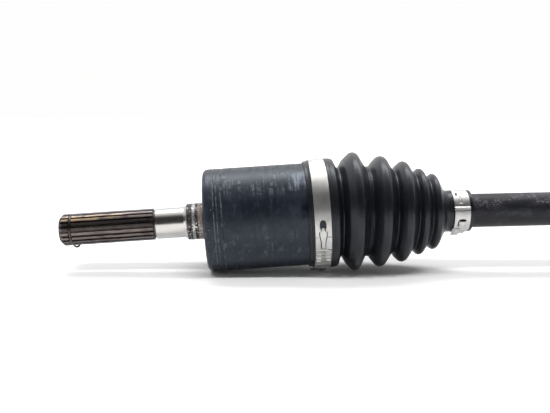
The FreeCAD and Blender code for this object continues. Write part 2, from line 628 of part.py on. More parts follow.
def make_outboard_shell():
    """Threaded and splined stub and bell with a spherical bore."""
    spline = "Sizes.ob_spline_radius"
    relief_end = "-Sizes.ob_spline_end + Sizes.ob_relief_width"
    shoulder = "Sizes.ob_shoulder_radius"
    shoulder_end = "-Sizes.ob_shoulder + Sizes.ob_shoulder_length"
    shell = "Sizes.ob_shell_radius"
    undercut = "-Sizes.ob_thread_start - Sizes.ob_undercut_length"
    corners = [
        ("-Sizes.ob_tip", "0"),
        ("-Sizes.ob_tip", "Sizes.ob_thread_radius - Sizes.ob_tip_chamfer"),
        ("-Sizes.ob_tip + Sizes.ob_tip_chamfer", "Sizes.ob_thread_radius"),
        *thread_corners(),
        (f"{undercut} - Sizes.ob_undercut_depth", "Sizes.ob_thread_radius"),
        (undercut, "Sizes.ob_thread_radius - Sizes.ob_undercut_depth"),
        ("-Sizes.ob_thread_start", "Sizes.ob_thread_radius - Sizes.ob_undercut_depth"),
        ("-Sizes.ob_thread_start", f"{spline} - Sizes.ob_spline_chamfer"),
        ("-Sizes.ob_thread_start + Sizes.ob_spline_chamfer", spline),
        ("-Sizes.ob_spline_end", spline),
        ("-Sizes.ob_spline_end", "Sizes.ob_relief_radius"),
        (relief_end, "Sizes.ob_relief_radius"),
        (relief_end, "Sizes.ob_bearing_radius - Sizes.ob_bearing_chamfer"),
        (f"{relief_end} + Sizes.ob_bearing_chamfer", "Sizes.ob_bearing_radius"),
        ("-Sizes.ob_shoulder", "Sizes.ob_bearing_radius"),
        ("-Sizes.ob_shoulder", f"{shoulder} - Sizes.edge_chamfer"),
        ("-Sizes.ob_shoulder + Sizes.edge_chamfer", shoulder),
        (shoulder_end, shoulder),
        (shoulder_end, f"{shoulder} + Sizes.ob_cone_step"),
        ("-Sizes.ob_cone_end", shell),
        ("Sizes.ob_mouth - Sizes.edge_chamfer", shell),
        ("Sizes.ob_mouth", f"{shell} - Sizes.edge_chamfer"),
        ("Sizes.ob_mouth", "0"),
    ]
    body = doc.addObject("PartDesign::Body", "OutboardBlank")
    turning = turned(body, corners)
    at = -size("Sizes.ob_cone_end")
    round_edges(body, turning, at, size(shell), "Sizes.ob_shell_round")
    cut_around(
        body,
        "HubFlute",
        flute("ob"),
        "-Sizes.ob_thread_start",
        "Sizes.ob_thread_start - Sizes.ob_spline_end + Sizes.ob_relief_width / 2",
        "Sizes.ob_spline_teeth",
    )
    bore = sphere("ObBore", "Sizes.ob_bore_radius")
    mouth = doc.addObject("Part::Cone", "ObMouth")
    mouth.setExpression("Radius1", "Sizes.ob_mouth_radius - Sizes.ob_flare_height")
    mouth.setExpression("Radius2", "Sizes.ob_mouth_radius")
    mouth.setExpression("Height", "Sizes.ob_mouth - Sizes.ob_flare_start")
    flare_start = FreeCAD.Vector(size("Sizes.ob_flare_start"), 0, 0)
    mouth.Placement = turned_about(Y_AXIS, 90, flare_start)
    pin_hole = doc.addObject("Part::Cylinder", "ObPinHole")
    pin_hole.setExpression("Radius", "Sizes.ob_pin_hole_radius")
    pin_hole.setExpression("Height", "4 * Sizes.ob_thread_radius")
    low = FreeCAD.Vector(-size("Sizes.ob_pin_hole"), 0, -size("2 * Sizes.ob_thread_radius"))
    pin_hole.Placement = FreeCAD.Placement(low, FreeCAD.Rotation())
    tools = joined("ObTools", [bore, mouth, pin_hole, curved_tracks("ObTrack", "ob")])
    bell = cut("ObBell", body, tools)
    finish(bell, "outboard_bell", AT_OUTBOARD)


# ---------------------------------------------------------------------- boots
def rounded_path(points):
    """Edges of a path whose inner corners are rounded with tangent arcs."""
    edges = []
    start = FreeCAD.Vector(points[0][0], 0, points[0][1])
    for i in range(1, len(points) - 1):
        before = FreeCAD.Vector(points[i - 1][0], 0, points[i - 1][1])
        corner = FreeCAD.Vector(points[i][0], 0, points[i][1])
        after = FreeCAD.Vector(points[i + 1][0], 0, points[i + 1][1])
        radius = points[i][2]
        if radius <= 0:
            edges.append(Part.LineSegment(start, corner).toShape())
            start = corner
            continue
        back = (before - corner).normalize()
        ahead = (after - corner).normalize()
        half_angle = back.getAngle(ahead) / 2
        setback = radius / math.tan(half_angle)
        middle = (back + ahead).normalize()
        to_arc = radius / math.sin(half_angle) - radius
        arc_start = corner + back * setback
        arc_end = corner + ahead * setback
        edges.append(Part.LineSegment(start, arc_start).toShape())
        edges.append(Part.Arc(arc_start, corner + middle * to_arc, arc_end).toShape())
        start = arc_end
    end = FreeCAD.Vector(points[-1][0], 0, points[-1][1])
    edges.append(Part.LineSegment(start, end).toShape())
    return edges


def turned_skin(points):
    """Solid of revolution of a closed path about the X axis."""
    edges = rounded_path([*points, points[0]])
    face = Part.Face(Part.Wire(edges))
    return face.revolve(ORIGIN, X_AXIS, FULL_TURN)


def bellows_path(first_valley, folds, wall):
    """Outer path through the folds, and the inner path one wall below it."""
    corners = [(first_valley, False)]
    for crest, valley in folds:
        corners += [(crest, True), (valley, False)]
    outer = []
    inner = []
    for (at, radius, rounding), is_crest in corners:
        # the flanks' sharp corner stands off the rounded one
        corner = radius + (CREST_STAND_OFF if is_crest else VALLEY_STAND_OFF) * rounding
        outer.append((at, corner, rounding))
        inside = max(rounding - wall, THINNEST_ROUND) if is_crest else rounding + wall / 2
        inner.append((at, corner - SLANTED_WALL * wall, inside))
    return outer, inner


def make_boot(side, prefix, first_valley, folds, cuff_placement, bar_placement):
    """Bellows boot: cuff on the shell's axis, bellows and collar on the bar's."""
    wall = size("Sizes.boot_wall")
    gap = size("Sizes.running_gap")
    lip = size(f"Sizes.{prefix}_boot_lip")
    cuff = size(f"Sizes.{prefix}_cuff_radius")
    cuff_bore = size(f"Sizes.{prefix}_shell_radius") + gap
    clamp_start = size(f"Sizes.{prefix}_clamp_start")
    clamp_end = clamp_start + size(f"Sizes.{prefix}_clamp_width")
    cuff_end = size(f"Sizes.{prefix}_cuff_end")
    bead = size(f"Sizes.{prefix}_cuff_bead_radius")
    mouth = size(f"Sizes.{prefix}_mouth")
    side_gap = size("Sizes.clamp_side_gap")
    valley_at, valley_radius, _ = first_valley
    before, above, foot_round = SHOULDER_FOOT
    overlap = valley_at + CUFF_OVERLAP
    cuff_path = [
        (lip, cuff_bore, 0),
        (lip, size(f"Sizes.{prefix}_lip_radius"), 0.4),
        (clamp_start - side_gap, cuff + size("Sizes.boot_lip_step"), 0),
        (clamp_start - side_gap, cuff, 0),
        (clamp_end + side_gap, cuff, 0),
        (clamp_end + side_gap, bead, 0),
        (cuff_end, bead, CUFF_ROUND),
        (valley_at - before, valley_radius + above, foot_round),
        (overlap, valley_radius, 0),
        (overlap, valley_radius - wall, 0),
        (mouth + gap, valley_radius - wall, 0),
        (mouth + gap, cuff_bore, 0),
    ]
    outer, inner = bellows_path(first_valley, folds, wall)
    collar = size("Sizes.boot_collar_radius")
    collar_start = size(f"Sizes.{prefix}_boot_collar")
    small_start = size(f"Sizes.{prefix}_small_clamp_start")
    small_end = small_start + size(f"Sizes.{prefix}_small_clamp_width")
    end = size(f"Sizes.{prefix}_collar_bead_end")
    bore = size("Sizes.bar_radius") + gap
    rim = size("Sizes.boot_collar_rim")
    bellows = [
        (valley_at, outer[0][1] - wall, 0),
        (valley_at, outer[0][1], 0),
        *outer[1:],
        (collar_start, collar + rim, 0.5),
        (small_start - side_gap, collar + rim, 0),
        (small_start - side_gap, collar, 0),
        (small_end + side_gap, collar, 0),
        (small_end + side_gap, collar + rim, 0),
        (end, collar + rim, 0.6),
        (end, bore, 0),
        (collar_start - COLLAR_OVERLAP, bore, 0),
        *reversed(inner[1:-1]),
    ]
    parts = []
    for path, placement in ((cuff_path, cuff_placement), (bellows, bar_placement)):
        skin = turned_skin(path)
        skin.Placement = placement * turned_about(X_AXIS, BOOT_SEAM_TURN)
        parts.append(skin)
    boot = doc.addObject("Part::Feature", f"{prefix}Boot")
    boot.Shape = parts[0].fuse(parts[1]).removeSplitter()
    finish(boot, f"{side}_boot", FreeCAD.Placement())


# --------------------------------------------------------------------- clamps
def make_clamp(name, inner, band, start, width, placement, turn):
    """Flat band with a crimped ear, a lap and a hook slot, ear on the -Y side."""
    outer = inner + band
    begin = FreeCAD.Vector(start, 0, 0)
    ring = Part.makeCylinder(outer, width, begin, X_AXIS)
    bore_start = FreeCAD.Vector(start - 1, 0, 0)
    bore = Part.makeCylinder(inner, width + 2, bore_start, X_AXIS)
    lap_start = FreeCAD.Vector(start + width * LAP_INSET, 0, 0)
    lap_width = width * (1 - 2 * LAP_INSET)
    lap = Part.makeCylinder(outer + band, lap_width, lap_start, X_AXIS, LAP_DEGREES)
    slot_width = width * SLOT_SHARE
    slot_corner = FreeCAD.Vector(start + (width - slot_width) / 2, 0, 0)
    slot_length = min(SLOT_LENGTH, SLOT_REACH * outer)
    slot = Part.makeBox(slot_width, 2 * outer, slot_length, slot_corner)
    slot.rotate(ORIGIN, X_AXIS, SLOT_TURN)
    ear_width = width * EAR_SHARE
    ear_corner = FreeCAD.Vector(start + (width - ear_width) / 2, -EAR_LENGTH / 2, outer - band / 2)
    ear = Part.makeBox(ear_width, EAR_LENGTH, band * EAR_BANDS, ear_corner)
    ear.rotate(ORIGIN, X_AXIS, -90)
    hoop = doc.addObject("Part::Feature", name.title().replace("_", ""))
    hoop.Shape = ring.fuse(lap).cut(slot).fuse(ear).cut(bore).removeSplitter()
    finish(hoop, name, placement * turned_about(X_AXIS, turn))


# ---------------------------------------------------------------------- build
make_bar()

for side, prefix, cage_placement in (
    ("inboard", "ib", IB_CAGE),
    ("outboard", "ob", AT_OUTBOARD),
):
    at_joint = AT_INBOARD if prefix == "ib" else AT_OUTBOARD
    make_inner_race(side, prefix, at_joint)
    make_cage(side, prefix, cage_placement)
    make_balls(side, prefix, cage_placement)
    make_wire_ring(
        f"{side}_race_clip",
        "Sizes.bar_seat_radius",
        "Sizes.race_clip_wire",
        f"-Sizes.{prefix}_race_half_width - Sizes.race_clip_wire",
        24,
        at_joint,
    )

make_inboard_shell()
make_outboard_shell()
make_wire_ring(
    "inboard_stub_clip",
    "Sizes.ib_clip_groove_radius + Sizes.ib_clip_wire + 0.1",
    "Sizes.ib_clip_wire",
    "-Sizes.ib_clip_groove",
    40,
    IB_SHELL,
    turn=200,
)
make_wire_ring(
    "inboard_stop_ring",
    "Sizes.ib_stop_circle",
    "Sizes.ib_stop_wire",
    "Sizes.ib_stop_ring",
    14,
    IB_SHELL,
)

make_boot("inboard", "ib", IB_FIRST_VALLEY, IB_FOLDS, IB_SHELL, AT_INBOARD)
make_boot("outboard", "ob", OB_FIRST_VALLEY, OB_FOLDS, AT_OUTBOARD, AT_OUTBOARD)

for side, prefix, shell_placement, bar_placement, turn in (
    ("inboard", "ib", IB_SHELL, AT_INBOARD, 180),
    ("outboard", "ob", AT_OUTBOARD, AT_OUTBOARD, 60),
):
    gap = size("Sizes.running_gap")
    make_clamp(
        f"{side}_large_clamp",
        size(f"Sizes.{prefix}_cuff_radius") + gap,
        size(f"Sizes.{prefix}_clamp_band"),
        size(f"Sizes.{prefix}_clamp_start"),
        size(f"Sizes.{prefix}_clamp_width"),
        shell_placement,
        turn,
    )
    make_clamp(
        f"{side}_small_clamp",
        size("Sizes.boot_collar_radius") + gap,
        size("Sizes.small_clamp_band"),
        size(f"Sizes.{prefix}_small_clamp_start"),
        size(f"Sizes.{prefix}_small_clamp_width"),
        bar_placement,
        turn,
    )

doc.recompute()

# --------------------------------------------------------------- check, write
for made in doc.Objects:
    if "Invalid" in made.State or "Error" in made.State:
        raise RuntimeError(f"{made.Name} ({made.Label}) failed: {made.State}")
for part in finished:
    shape = part.Shape
    if shape.isNull() or not shape.isValid() or not shape.Solids:
        raise RuntimeError(f"{part.Label} is not a valid solid")

os.makedirs("parts", exist_ok=True)
for part in finished:
    part.Shape.exportStep(f"parts/{part.Label}.step")
    print(f"{part.Label}: {len(part.Shape.Solids)} solid, {part.Shape.Volume:.0f} mm3")
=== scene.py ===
import json
import math
from types import SimpleNamespace

import bmesh
import bpy
from mathutils import Matrix, Vector, noise


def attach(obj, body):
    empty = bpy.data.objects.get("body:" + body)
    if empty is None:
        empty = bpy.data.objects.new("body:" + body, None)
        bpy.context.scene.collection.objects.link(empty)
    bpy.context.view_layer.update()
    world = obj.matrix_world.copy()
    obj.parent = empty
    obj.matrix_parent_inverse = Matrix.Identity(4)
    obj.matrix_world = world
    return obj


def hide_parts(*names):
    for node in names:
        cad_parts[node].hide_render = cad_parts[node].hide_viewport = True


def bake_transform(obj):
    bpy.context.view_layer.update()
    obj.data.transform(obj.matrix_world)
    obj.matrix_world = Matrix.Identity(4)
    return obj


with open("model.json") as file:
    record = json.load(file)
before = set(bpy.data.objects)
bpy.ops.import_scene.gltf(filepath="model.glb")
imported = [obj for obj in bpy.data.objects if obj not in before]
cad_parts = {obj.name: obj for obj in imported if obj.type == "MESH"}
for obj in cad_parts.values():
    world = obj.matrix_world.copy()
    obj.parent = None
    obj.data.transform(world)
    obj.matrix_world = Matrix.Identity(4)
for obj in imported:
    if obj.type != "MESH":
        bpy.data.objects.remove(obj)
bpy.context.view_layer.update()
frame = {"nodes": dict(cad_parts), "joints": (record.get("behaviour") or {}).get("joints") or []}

# Most lengths here are in mm: s along a joint's line from its centre, and a radius round it at
# an angle in degrees, where 0 is the front and 90 the top.
MM = 0.001
JOINTS = {j["name"]: j for j in frame["joints"]}
IB = Vector(JOINTS["inboard_swing_bar_side"]["pos_m"])
OB = Vector(JOINTS["outboard_swing_bar_side"]["pos_m"])
CUP_AXIS = Vector(JOINTS["inboard_plunge"]["axis"]).normalized()
if CUP_AXIS.x < 0:
    CUP_AXIS.negate()
FRONT = Vector((0, -1, 0))
BAR_AXIS = Vector((1, 0, 0))


# --- small maths
def step(low, high, value):
    """Smooth 0 to 1 as value goes from low to high."""
    t = max(0.0, min(1.0, (value - low) / (high - low)))
    return t * t * (3 - 2 * t)


def hump(centre, half, value):
    """Smooth hump of height 1 about centre."""
    return 1 - step(0, half, abs(value - centre))


# --- spines
IB_EASE = (24.0, 96.0)  # where the boot's line leaves the cup's and meets the bar's


def inboard_spine(s):
    """Point and direction of the inboard end's line, s in mm from the joint."""
    near, far = IB_EASE
    if s <= near:
        return IB + CUP_AXIS * (s * MM), CUP_AXIS.copy()
    if s >= far:
        return IB + BAR_AXIS * (s * MM), BAR_AXIS.copy()

    def at(where):
        t = (where - near) / (far - near)
        x = near * CUP_AXIS.x + t * (far - near * CUP_AXIS.x)
        slope = (far - near) * CUP_AXIS.z / CUP_AXIS.x
        z = (2 * t**3 - 3 * t**2 + 1) * near * CUP_AXIS.z + (t**3 - 2 * t**2 + t) * slope
        return Vector((x, 0, z))

    ahead, behind = at(min(s + 0.05, far)), at(max(s - 0.05, near))
    return IB + at(s) * MM, (ahead - behind).normalized()


def outboard_spine(s):
    """The same for the outboard end, where s also grows towards the bar."""
    return OB - BAR_AXIS * (s * MM), -BAR_AXIS


def across(direction):
    """The two directions across a line: towards the front, and up."""
    up = FRONT.cross(direction) * (1 if direction.x > 0 else -1)
    return FRONT.copy(), up.normalized()


def place(spine, s, radius, angle):
    """Point at a radius in mm round a spine; angle 0 is the front, 90 the top."""
    centre, direction = spine(s)
    front, up = across(direction)
    a = math.radians(angle)
    return centre + (front * math.cos(a) + up * math.sin(a)) * (radius * MM)


# --- mesh helpers
def new_object(name, points, faces, smooth=True):
    """Mesh object in the row frame."""
    mesh = bpy.data.meshes.new(name)
    mesh.from_pydata([tuple(p) for p in points], [], faces)
    mesh.polygons.foreach_set("use_smooth", [smooth] * len(mesh.polygons))
    mesh.update()
    made = bpy.data.objects.new(name, mesh)
    bpy.context.scene.collection.objects.link(made)
    return made


def tube_faces(rings, count):
    """Faces between rings of count points each."""
    faces = []
    for i in range(rings - 1):
        for k in range(count):
            j = (k + 1) % count
            faces.append((i * count + k, i * count + j, (i + 1) * count + j, (i + 1) * count + k))
    return faces


def rounded(corners, spacing):
    """Closely spaced (s, r) along a path whose corners are rounded with arcs."""
    out = []

    def line_to(end):
        if out:
            a, b = out[-1], end
            count = max(1, math.ceil(math.dist(a, b) / spacing))
            for k in range(1, count):
                t = k / count
                out.append((a[0] + (b[0] - a[0]) * t, a[1] + (b[1] - a[1]) * t))
        out.append(end)

    line_to(corners[0][:2])
    for before, corner, after in zip(corners, corners[1:], corners[2:]):
        at = Vector(corner[:2])
        radius = corner[2]
        back = (Vector(before[:2]) - at).normalized()
        ahead = (Vector(after[:2]) - at).normalized()
        half = back.angle(ahead) / 2
        if radius <= 0 or half > math.radians(88):
            line_to(tuple(at))
            continue
        start = at + back * (radius / math.tan(half))
        middle = at + (back + ahead).normalized() * (radius / math.sin(half))
        sweep = math.pi - 2 * half
        turn = 1 if back.cross(ahead) < 0 else -1
        line_to(tuple(start))
        spoke = start - middle
        count = max(3, math.ceil(radius * sweep / (spacing * 0.55)))
        for k in range(1, count + 1):
            a = turn * sweep * k / count
            c, s = math.cos(a), math.sin(a)
            out.append((middle.x + spoke.x * c - spoke.y * s, middle.y + spoke.x * s + spoke.y * c))
    line_to(corners[-1][:2])
    return out


# --- boots
ROUND_STEPS = 168


def boot_grid(spine, samples, seed):
    """Rings of points along the boot, with the slight unevenness of moulding."""
    rings = []
    for s, r in samples:
        ring = []
        for k in range(ROUND_STEPS):
            angle = 360 * k / ROUND_STEPS
            a = math.radians(angle)
            wander = noise.noise(Vector((math.cos(a) * 1.3, math.sin(a) * 1.3, s * 0.05 + seed)))
            grow = 0.10 * wander * step(14, 30, r)
            ring.append(place(spine, s, r + grow, angle))
        rings.append(ring)
    return rings


def grid_normals(rings):
    """Outward unit normals of a ring grid."""
    normals = []
    last = len(rings) - 1
    for i, ring in enumerate(rings):
        row = []
        count = len(ring)
        for k in range(count):
            along = rings[min(i + 1, last)][k] - rings[max(i - 1, 0)][k]
            round_ = ring[(k + 1) % count] - ring[k - 1]
            row.append(along.cross(round_).normalized())
        normals.append(row)
    middle = len(rings) // 2
    centre = sum(rings[middle], Vector()) / len(rings[middle])
    if normals[middle][0].dot(rings[middle][0] - centre) < 0:
        normals = [[-n for n in row] for row in normals]
    return normals


def ring_piece(name, rings, normals):
    """Object from some rings, with the whole surface's normals kept."""
    points = [p for ring in rings for p in ring]
    faces = tube_faces(len(rings), len(rings[0]))
    a, b, c = (points[faces[0][n]] for n in (0, 1, 2))
    if (b - a).cross(c - a).dot(normals[0][0]) < 0:
        faces = [tuple(reversed(f)) for f in faces]
    made = new_object(name, points, faces)
    made.data.normals_split_custom_set_from_vertices([tuple(n) for row in normals for n in row])
    return made


def bellows(corners):
    """Corners of the folds: sharp corners stood off so that the arcs reach size."""
    off = {"crest": 0.75, "valley": -0.45, "flank": 0.0}
    return [(at, radius + off[kind] * rounding, rounding) for kind, at, radius, rounding in corners]


# the folds from the cuff to the small collar: kind, place along, radius and rounding in mm
IB_BELLOWS = [
    ("valley", 29.0, 28.4, 0.8),
    ("flank", 32.2, 33.7, 5.0),
    ("crest", 38.9, 37.8, 3.3),
    ("flank", 44.4, 30.6, 5.5),
    ("valley", 46.1, 28.4, 0.4),
    ("flank", 46.9, 29.6, 0.5),
    ("valley", 47.7, 28.4, 0.4),
    ("flank", 49.9, 31.6, 4.4),
    ("crest", 55.8, 35.3, 3.7),
    ("flank", 60.9, 29.9, 4.6),
    ("valley", 63.4, 26.7, 0.6),
    ("flank", 65.3, 29.5, 3.0),
    ("crest", 70.2, 31.9, 2.9),
    ("flank", 74.5, 28.0, 3.4),
    ("valley", 76.7, 24.9, 0.6),
    ("crest", 80.9, 27.7, 2.1),
    ("valley", 85.9, 22.0, 0.6),
    ("crest", 90.1, 24.3, 2.1),
    ("flank", 94.4, 18.0, 3.0),
    ("valley", 96.3, 15.0, 1.2),
]
OB_BELLOWS = [
    ("valley", 22.0, 34.5, 1.7),
    ("flank", 25.6, 40.2, 4.0),
    ("crest", 31.5, 44.9, 3.6),
    ("flank", 37.4, 36.4, 4.5),
    ("valley", 40.0, 31.6, 1.5),
    ("flank", 42.6, 36.6, 3.0),
    ("crest", 48.5, 40.9, 3.3),
    ("flank", 54.0, 33.4, 3.5),
    ("valley", 56.5, 28.8, 1.4),
    ("flank", 58.8, 32.4, 2.4),
    ("crest", 64.0, 35.5, 2.9),
    ("flank", 69.2, 29.4, 3.0),
    ("valley", 71.5, 25.4, 1.3),
    ("crest", 77.5, 29.6, 2.3),
    ("valley", 83.6, 21.6, 1.2),
    ("crest", 88.8, 24.0, 2.0),
    ("flank", 94.2, 18.2, 2.8),
    ("valley", 96.3, 15.0, 1.4),
]


BAND_WIDTH = 10.0
BAND_PLAY = 0.05  # between a boot's seat and the band round it
SMALL_CLAMP_AT = 101.5
BOOT_END = 114.0
COLLAR = 13.1  # radius of a boot's small end
RIM = 0.35  # how far its two rims stand over it


def boot_path(folds, shell, lip, lip_radius, cuff, clamp, bead, cuff_end):
    """Outer path (s, radius, rounding) of a boot from its lip to the end of its small collar."""
    _, shoulder_at, shoulder_radius, _ = folds[0]
    small_clamp_end = SMALL_CLAMP_AT + BAND_WIDTH
    return [
        (lip + 0.5, shell + 0.02, 0),
        (lip, shell + 0.45, 0.3),
        (lip + 0.1, lip_radius, 0.45),
        (lip + 1.5, lip_radius + 0.3, 0.5),
        (lip + 1.9, lip_radius - 0.05, 0.2),
        (lip + 2.3, lip_radius + 0.3, 0.3),
        (clamp - 0.25, cuff + 0.25, 0.15),
        (clamp - 0.15, cuff - 0.1, 0),
        (clamp + BAND_WIDTH + 0.15, cuff - 0.1, 0),
        (clamp + BAND_WIDTH + 0.25, bead - 0.05, 0.3),
        (cuff_end - 1.9, bead, 0.4),
        (cuff_end - 1.5, bead - 0.35, 0.2),
        (cuff_end - 1.1, bead, 0.4),
        (cuff_end + 1.6, bead - 0.5, 1.5),
        (shoulder_at - 1.3, shoulder_radius + 1.6, 1.2),
        *bellows(folds),
        (98.4, COLLAR + RIM, 0.9),
        (SMALL_CLAMP_AT - 0.35, COLLAR + RIM, 0.25),
        (SMALL_CLAMP_AT - 0.2, COLLAR - 0.1, 0),
        (small_clamp_end + 0.2, COLLAR - 0.1, 0),
        (small_clamp_end + 0.35, COLLAR + RIM, 0.25),
        (BOOT_END, COLLAR + RIM, 0.7),
        (BOOT_END, 11.4, 0.3),
        (BOOT_END - 0.6, 10.95, 0),
    ]


def make_boot(end, rubber):
    """Boot in pieces that follow the joint's chain of bodies."""
    samples = rounded(boot_path(end.folds, **end.boot), 0.55)
    rings = boot_grid(end.spine, samples, end.seed)
    normals = grid_normals(rings)
    edges = [0]
    for s, *_ in end.cuts:
        edges.append(next(i for i, p in enumerate(samples) if p[0] >= s))
    edges.append(len(samples) - 1)
    names = ["cuff"] + [f"fold_{k + 1}" for k in range(len(end.cuts) - 1)] + ["collar"]
    pieces = []
    for name, low, high in zip(names, edges, edges[1:]):
        piece = ring_piece(f"{end.side}_boot_{name}", rings[low:high + 1], normals[low:high + 1])
        piece.data.materials.append(rubber)
        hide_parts(f"{end.side}_boot")
        pieces.append(piece)
    return pieces


# --- clamps
BAND_THICKNESS = 0.6
BAND_BEVEL = 0.3  # how wide a band's rolled edge is
HOOK_TURN = 3.6  # degrees that a large band's details are turned upwards


def sheet_faces(wide, long, cells):
    """Faces of a plate's grid of points, its two sides and the edges round the cells."""
    level = wide * long
    faces = []
    for i, j in sorted(cells):
        a, b = i * wide + j, i * wide + j + 1
        c, d = b + wide, a + wide
        faces.append((a, b, c, d))
        faces.append((d + level, c + level, b + level, a + level))
        sides = (((i - 1, j), a, b), ((i, j + 1), b, c), ((i + 1, j), c, d), ((i, j - 1), d, a))
        for beside, p, q in sides:
            if beside not in cells:
                faces.append((q, p, p + level, q + level))
    return faces


def strip(spine, start, columns, rows, height, shown, turn=0.0):
    """Thin curved band: points and faces with both sides and its edges.

    columns are places across the band in mm, rows are angles, and height gives
    the outer radius. shown tells which cells there are.
    """
    points = []
    for inner in (0, 1):
        for angle in rows:
            for c in columns:
                r = height(angle, c) - inner * BAND_THICKNESS
                points.append(place(spine, start + c, r, angle + turn))
    cells = set()
    for i, (row, next_row) in enumerate(zip(rows, rows[1:])):
        for j, (column, next_column) in enumerate(zip(columns, columns[1:])):
            if shown((row + next_row) / 2, (column + next_column) / 2):
                cells.add((i, j))
    return points, sheet_faces(len(columns), len(rows), cells)


def joined_object(name, plates, material):
    """One object from several plates, its sharp edges kept."""
    points, faces = [], []
    for plate_points, plate_faces in plates:
        base = len(points)
        points += plate_points
        faces += [tuple(base + k for k in f) for f in plate_faces]
    made = new_object(name, points, faces)
    work = bmesh.new()
    work.from_mesh(made.data)
    loose = [v for v in work.verts if not v.link_faces]
    bmesh.ops.delete(work, geom=loose, context="VERTS")
    bmesh.ops.remove_doubles(work, verts=work.verts, dist=1e-7)
    bmesh.ops.recalc_face_normals(work, faces=work.faces)
    for edge in work.edges:
        if len(edge.link_faces) == 2 and edge.calc_face_angle(0) > math.radians(38):
            edge.smooth = False
    work.to_mesh(made.data)
    work.free()
    made.data.materials.append(material)
    return made


def flat_point(angle, radius):
    """Point of a band's cross-section from its angle in degrees and radius."""
    return Vector((math.cos(math.radians(angle)), math.sin(math.radians(angle)))) * radius


def bent_plate(spine, start, width, outer, path, thickness):
    """Plate bent along a path of (angle, height over the band) and as wide as given."""
    path = [(angle, outer + height) for angle, height in path]
    count = len(path)
    outline = []
    for way, order in ((1, range(count)), (-1, range(count - 1, -1, -1))):
        for k in order:
            before, after = flat_point(*path[max(k - 1, 0)]), flat_point(*path[min(k + 1, count - 1)])
            along = (after - before).normalized()
            here = flat_point(*path[k]) + Vector((-along.y, along.x)) * (way * thickness / 2)
            outline.append((math.degrees(math.atan2(here.y, here.x)), here.length))
    edge = min(0.18, thickness * 0.3)
    sections = ((0.0, edge), (edge, 0.0), (width - edge, 0.0), (width, edge))
    points = []
    for at, shrink in sections:
        for k, (angle, radius) in enumerate(outline):
            inward = shrink if k < count else -shrink
            points.append(place(spine, start + at, radius - inward * 0.6, angle))
    n = len(outline)
    faces = tube_faces(len(sections), n)
    for base in (0, (len(sections) - 1) * n):
        for k in range(count - 1):
            faces.append((base + k, base + k + 1, base + n - 2 - k, base + n - 1 - k))
    return points, faces


def band_columns(spacing):
    """Places across a band, closer together at its rolled edges."""
    flat = BAND_WIDTH - 2 * BAND_BEVEL
    count = round(flat / spacing)
    middle = [BAND_BEVEL + flat * k / count for k in range(count + 1)]
    return [0.0, 0.1, *middle, BAND_WIDTH - 0.1, BAND_WIDTH]


def rolled(c):
    """How far a band's edge is rolled inwards."""
    return 0.16 * (1 - step(0, BAND_BEVEL, min(c, BAND_WIDTH - c)))


def rows_between(low, high, spacing):
    count = max(1, round(abs(high - low) / spacing))
    return [low + (high - low) * k / count for k in range(count + 1)]


def oblong(angle, c, at, across_at, half_long, half_wide, radius):
    """Inside an oblong hole on a cylinder of this radius."""
    u = math.radians(angle - at) * radius / half_long
    v = (c - across_at) / half_wide
    return abs(u) ** 2.6 + abs(v) ** 2.6 < 1


def tongue_half(angle):
    """Half the tongue's width: a round tip, a wide neck, then narrower downwards."""
    tip = math.sqrt(max(0.0, 1 - ((max(angle, -11.5) + 11.5) / 1.9) ** 2))
    wide = step(-13.4, -14.2, angle)
    return 2.0 * wide + 1.1 * tip * (1 - wide) - 0.85 * step(-17.0, -26.0, angle)


def tongue_plate(spine, start, outer, across_at):
    """The band's free tongue, which lies in the hook slot and the gap under it."""
    lanes = [-1, -0.86, -0.5, 0, 0.5, 0.86, 1]
    rows = rows_between(-32.6, -9.7, 0.35)
    points = []
    for inner in (0, 1):
        for angle in rows:
            rise = 0.42 + 0.18 * step(-22, -30, angle) - 0.25 * step(-13, -10, angle)
            for lane in lanes:
                r = outer + rise - 0.14 * abs(lane) ** 6 - inner * 0.55
                across_band = across_at + lane * tongue_half(angle)
                points.append(place(spine, start + across_band, r, angle + HOOK_TURN))
    cells = {(i, j) for i in range(len(rows) - 1) for j in range(len(lanes) - 1)}
    return points, sheet_faces(len(lanes), len(rows), cells)


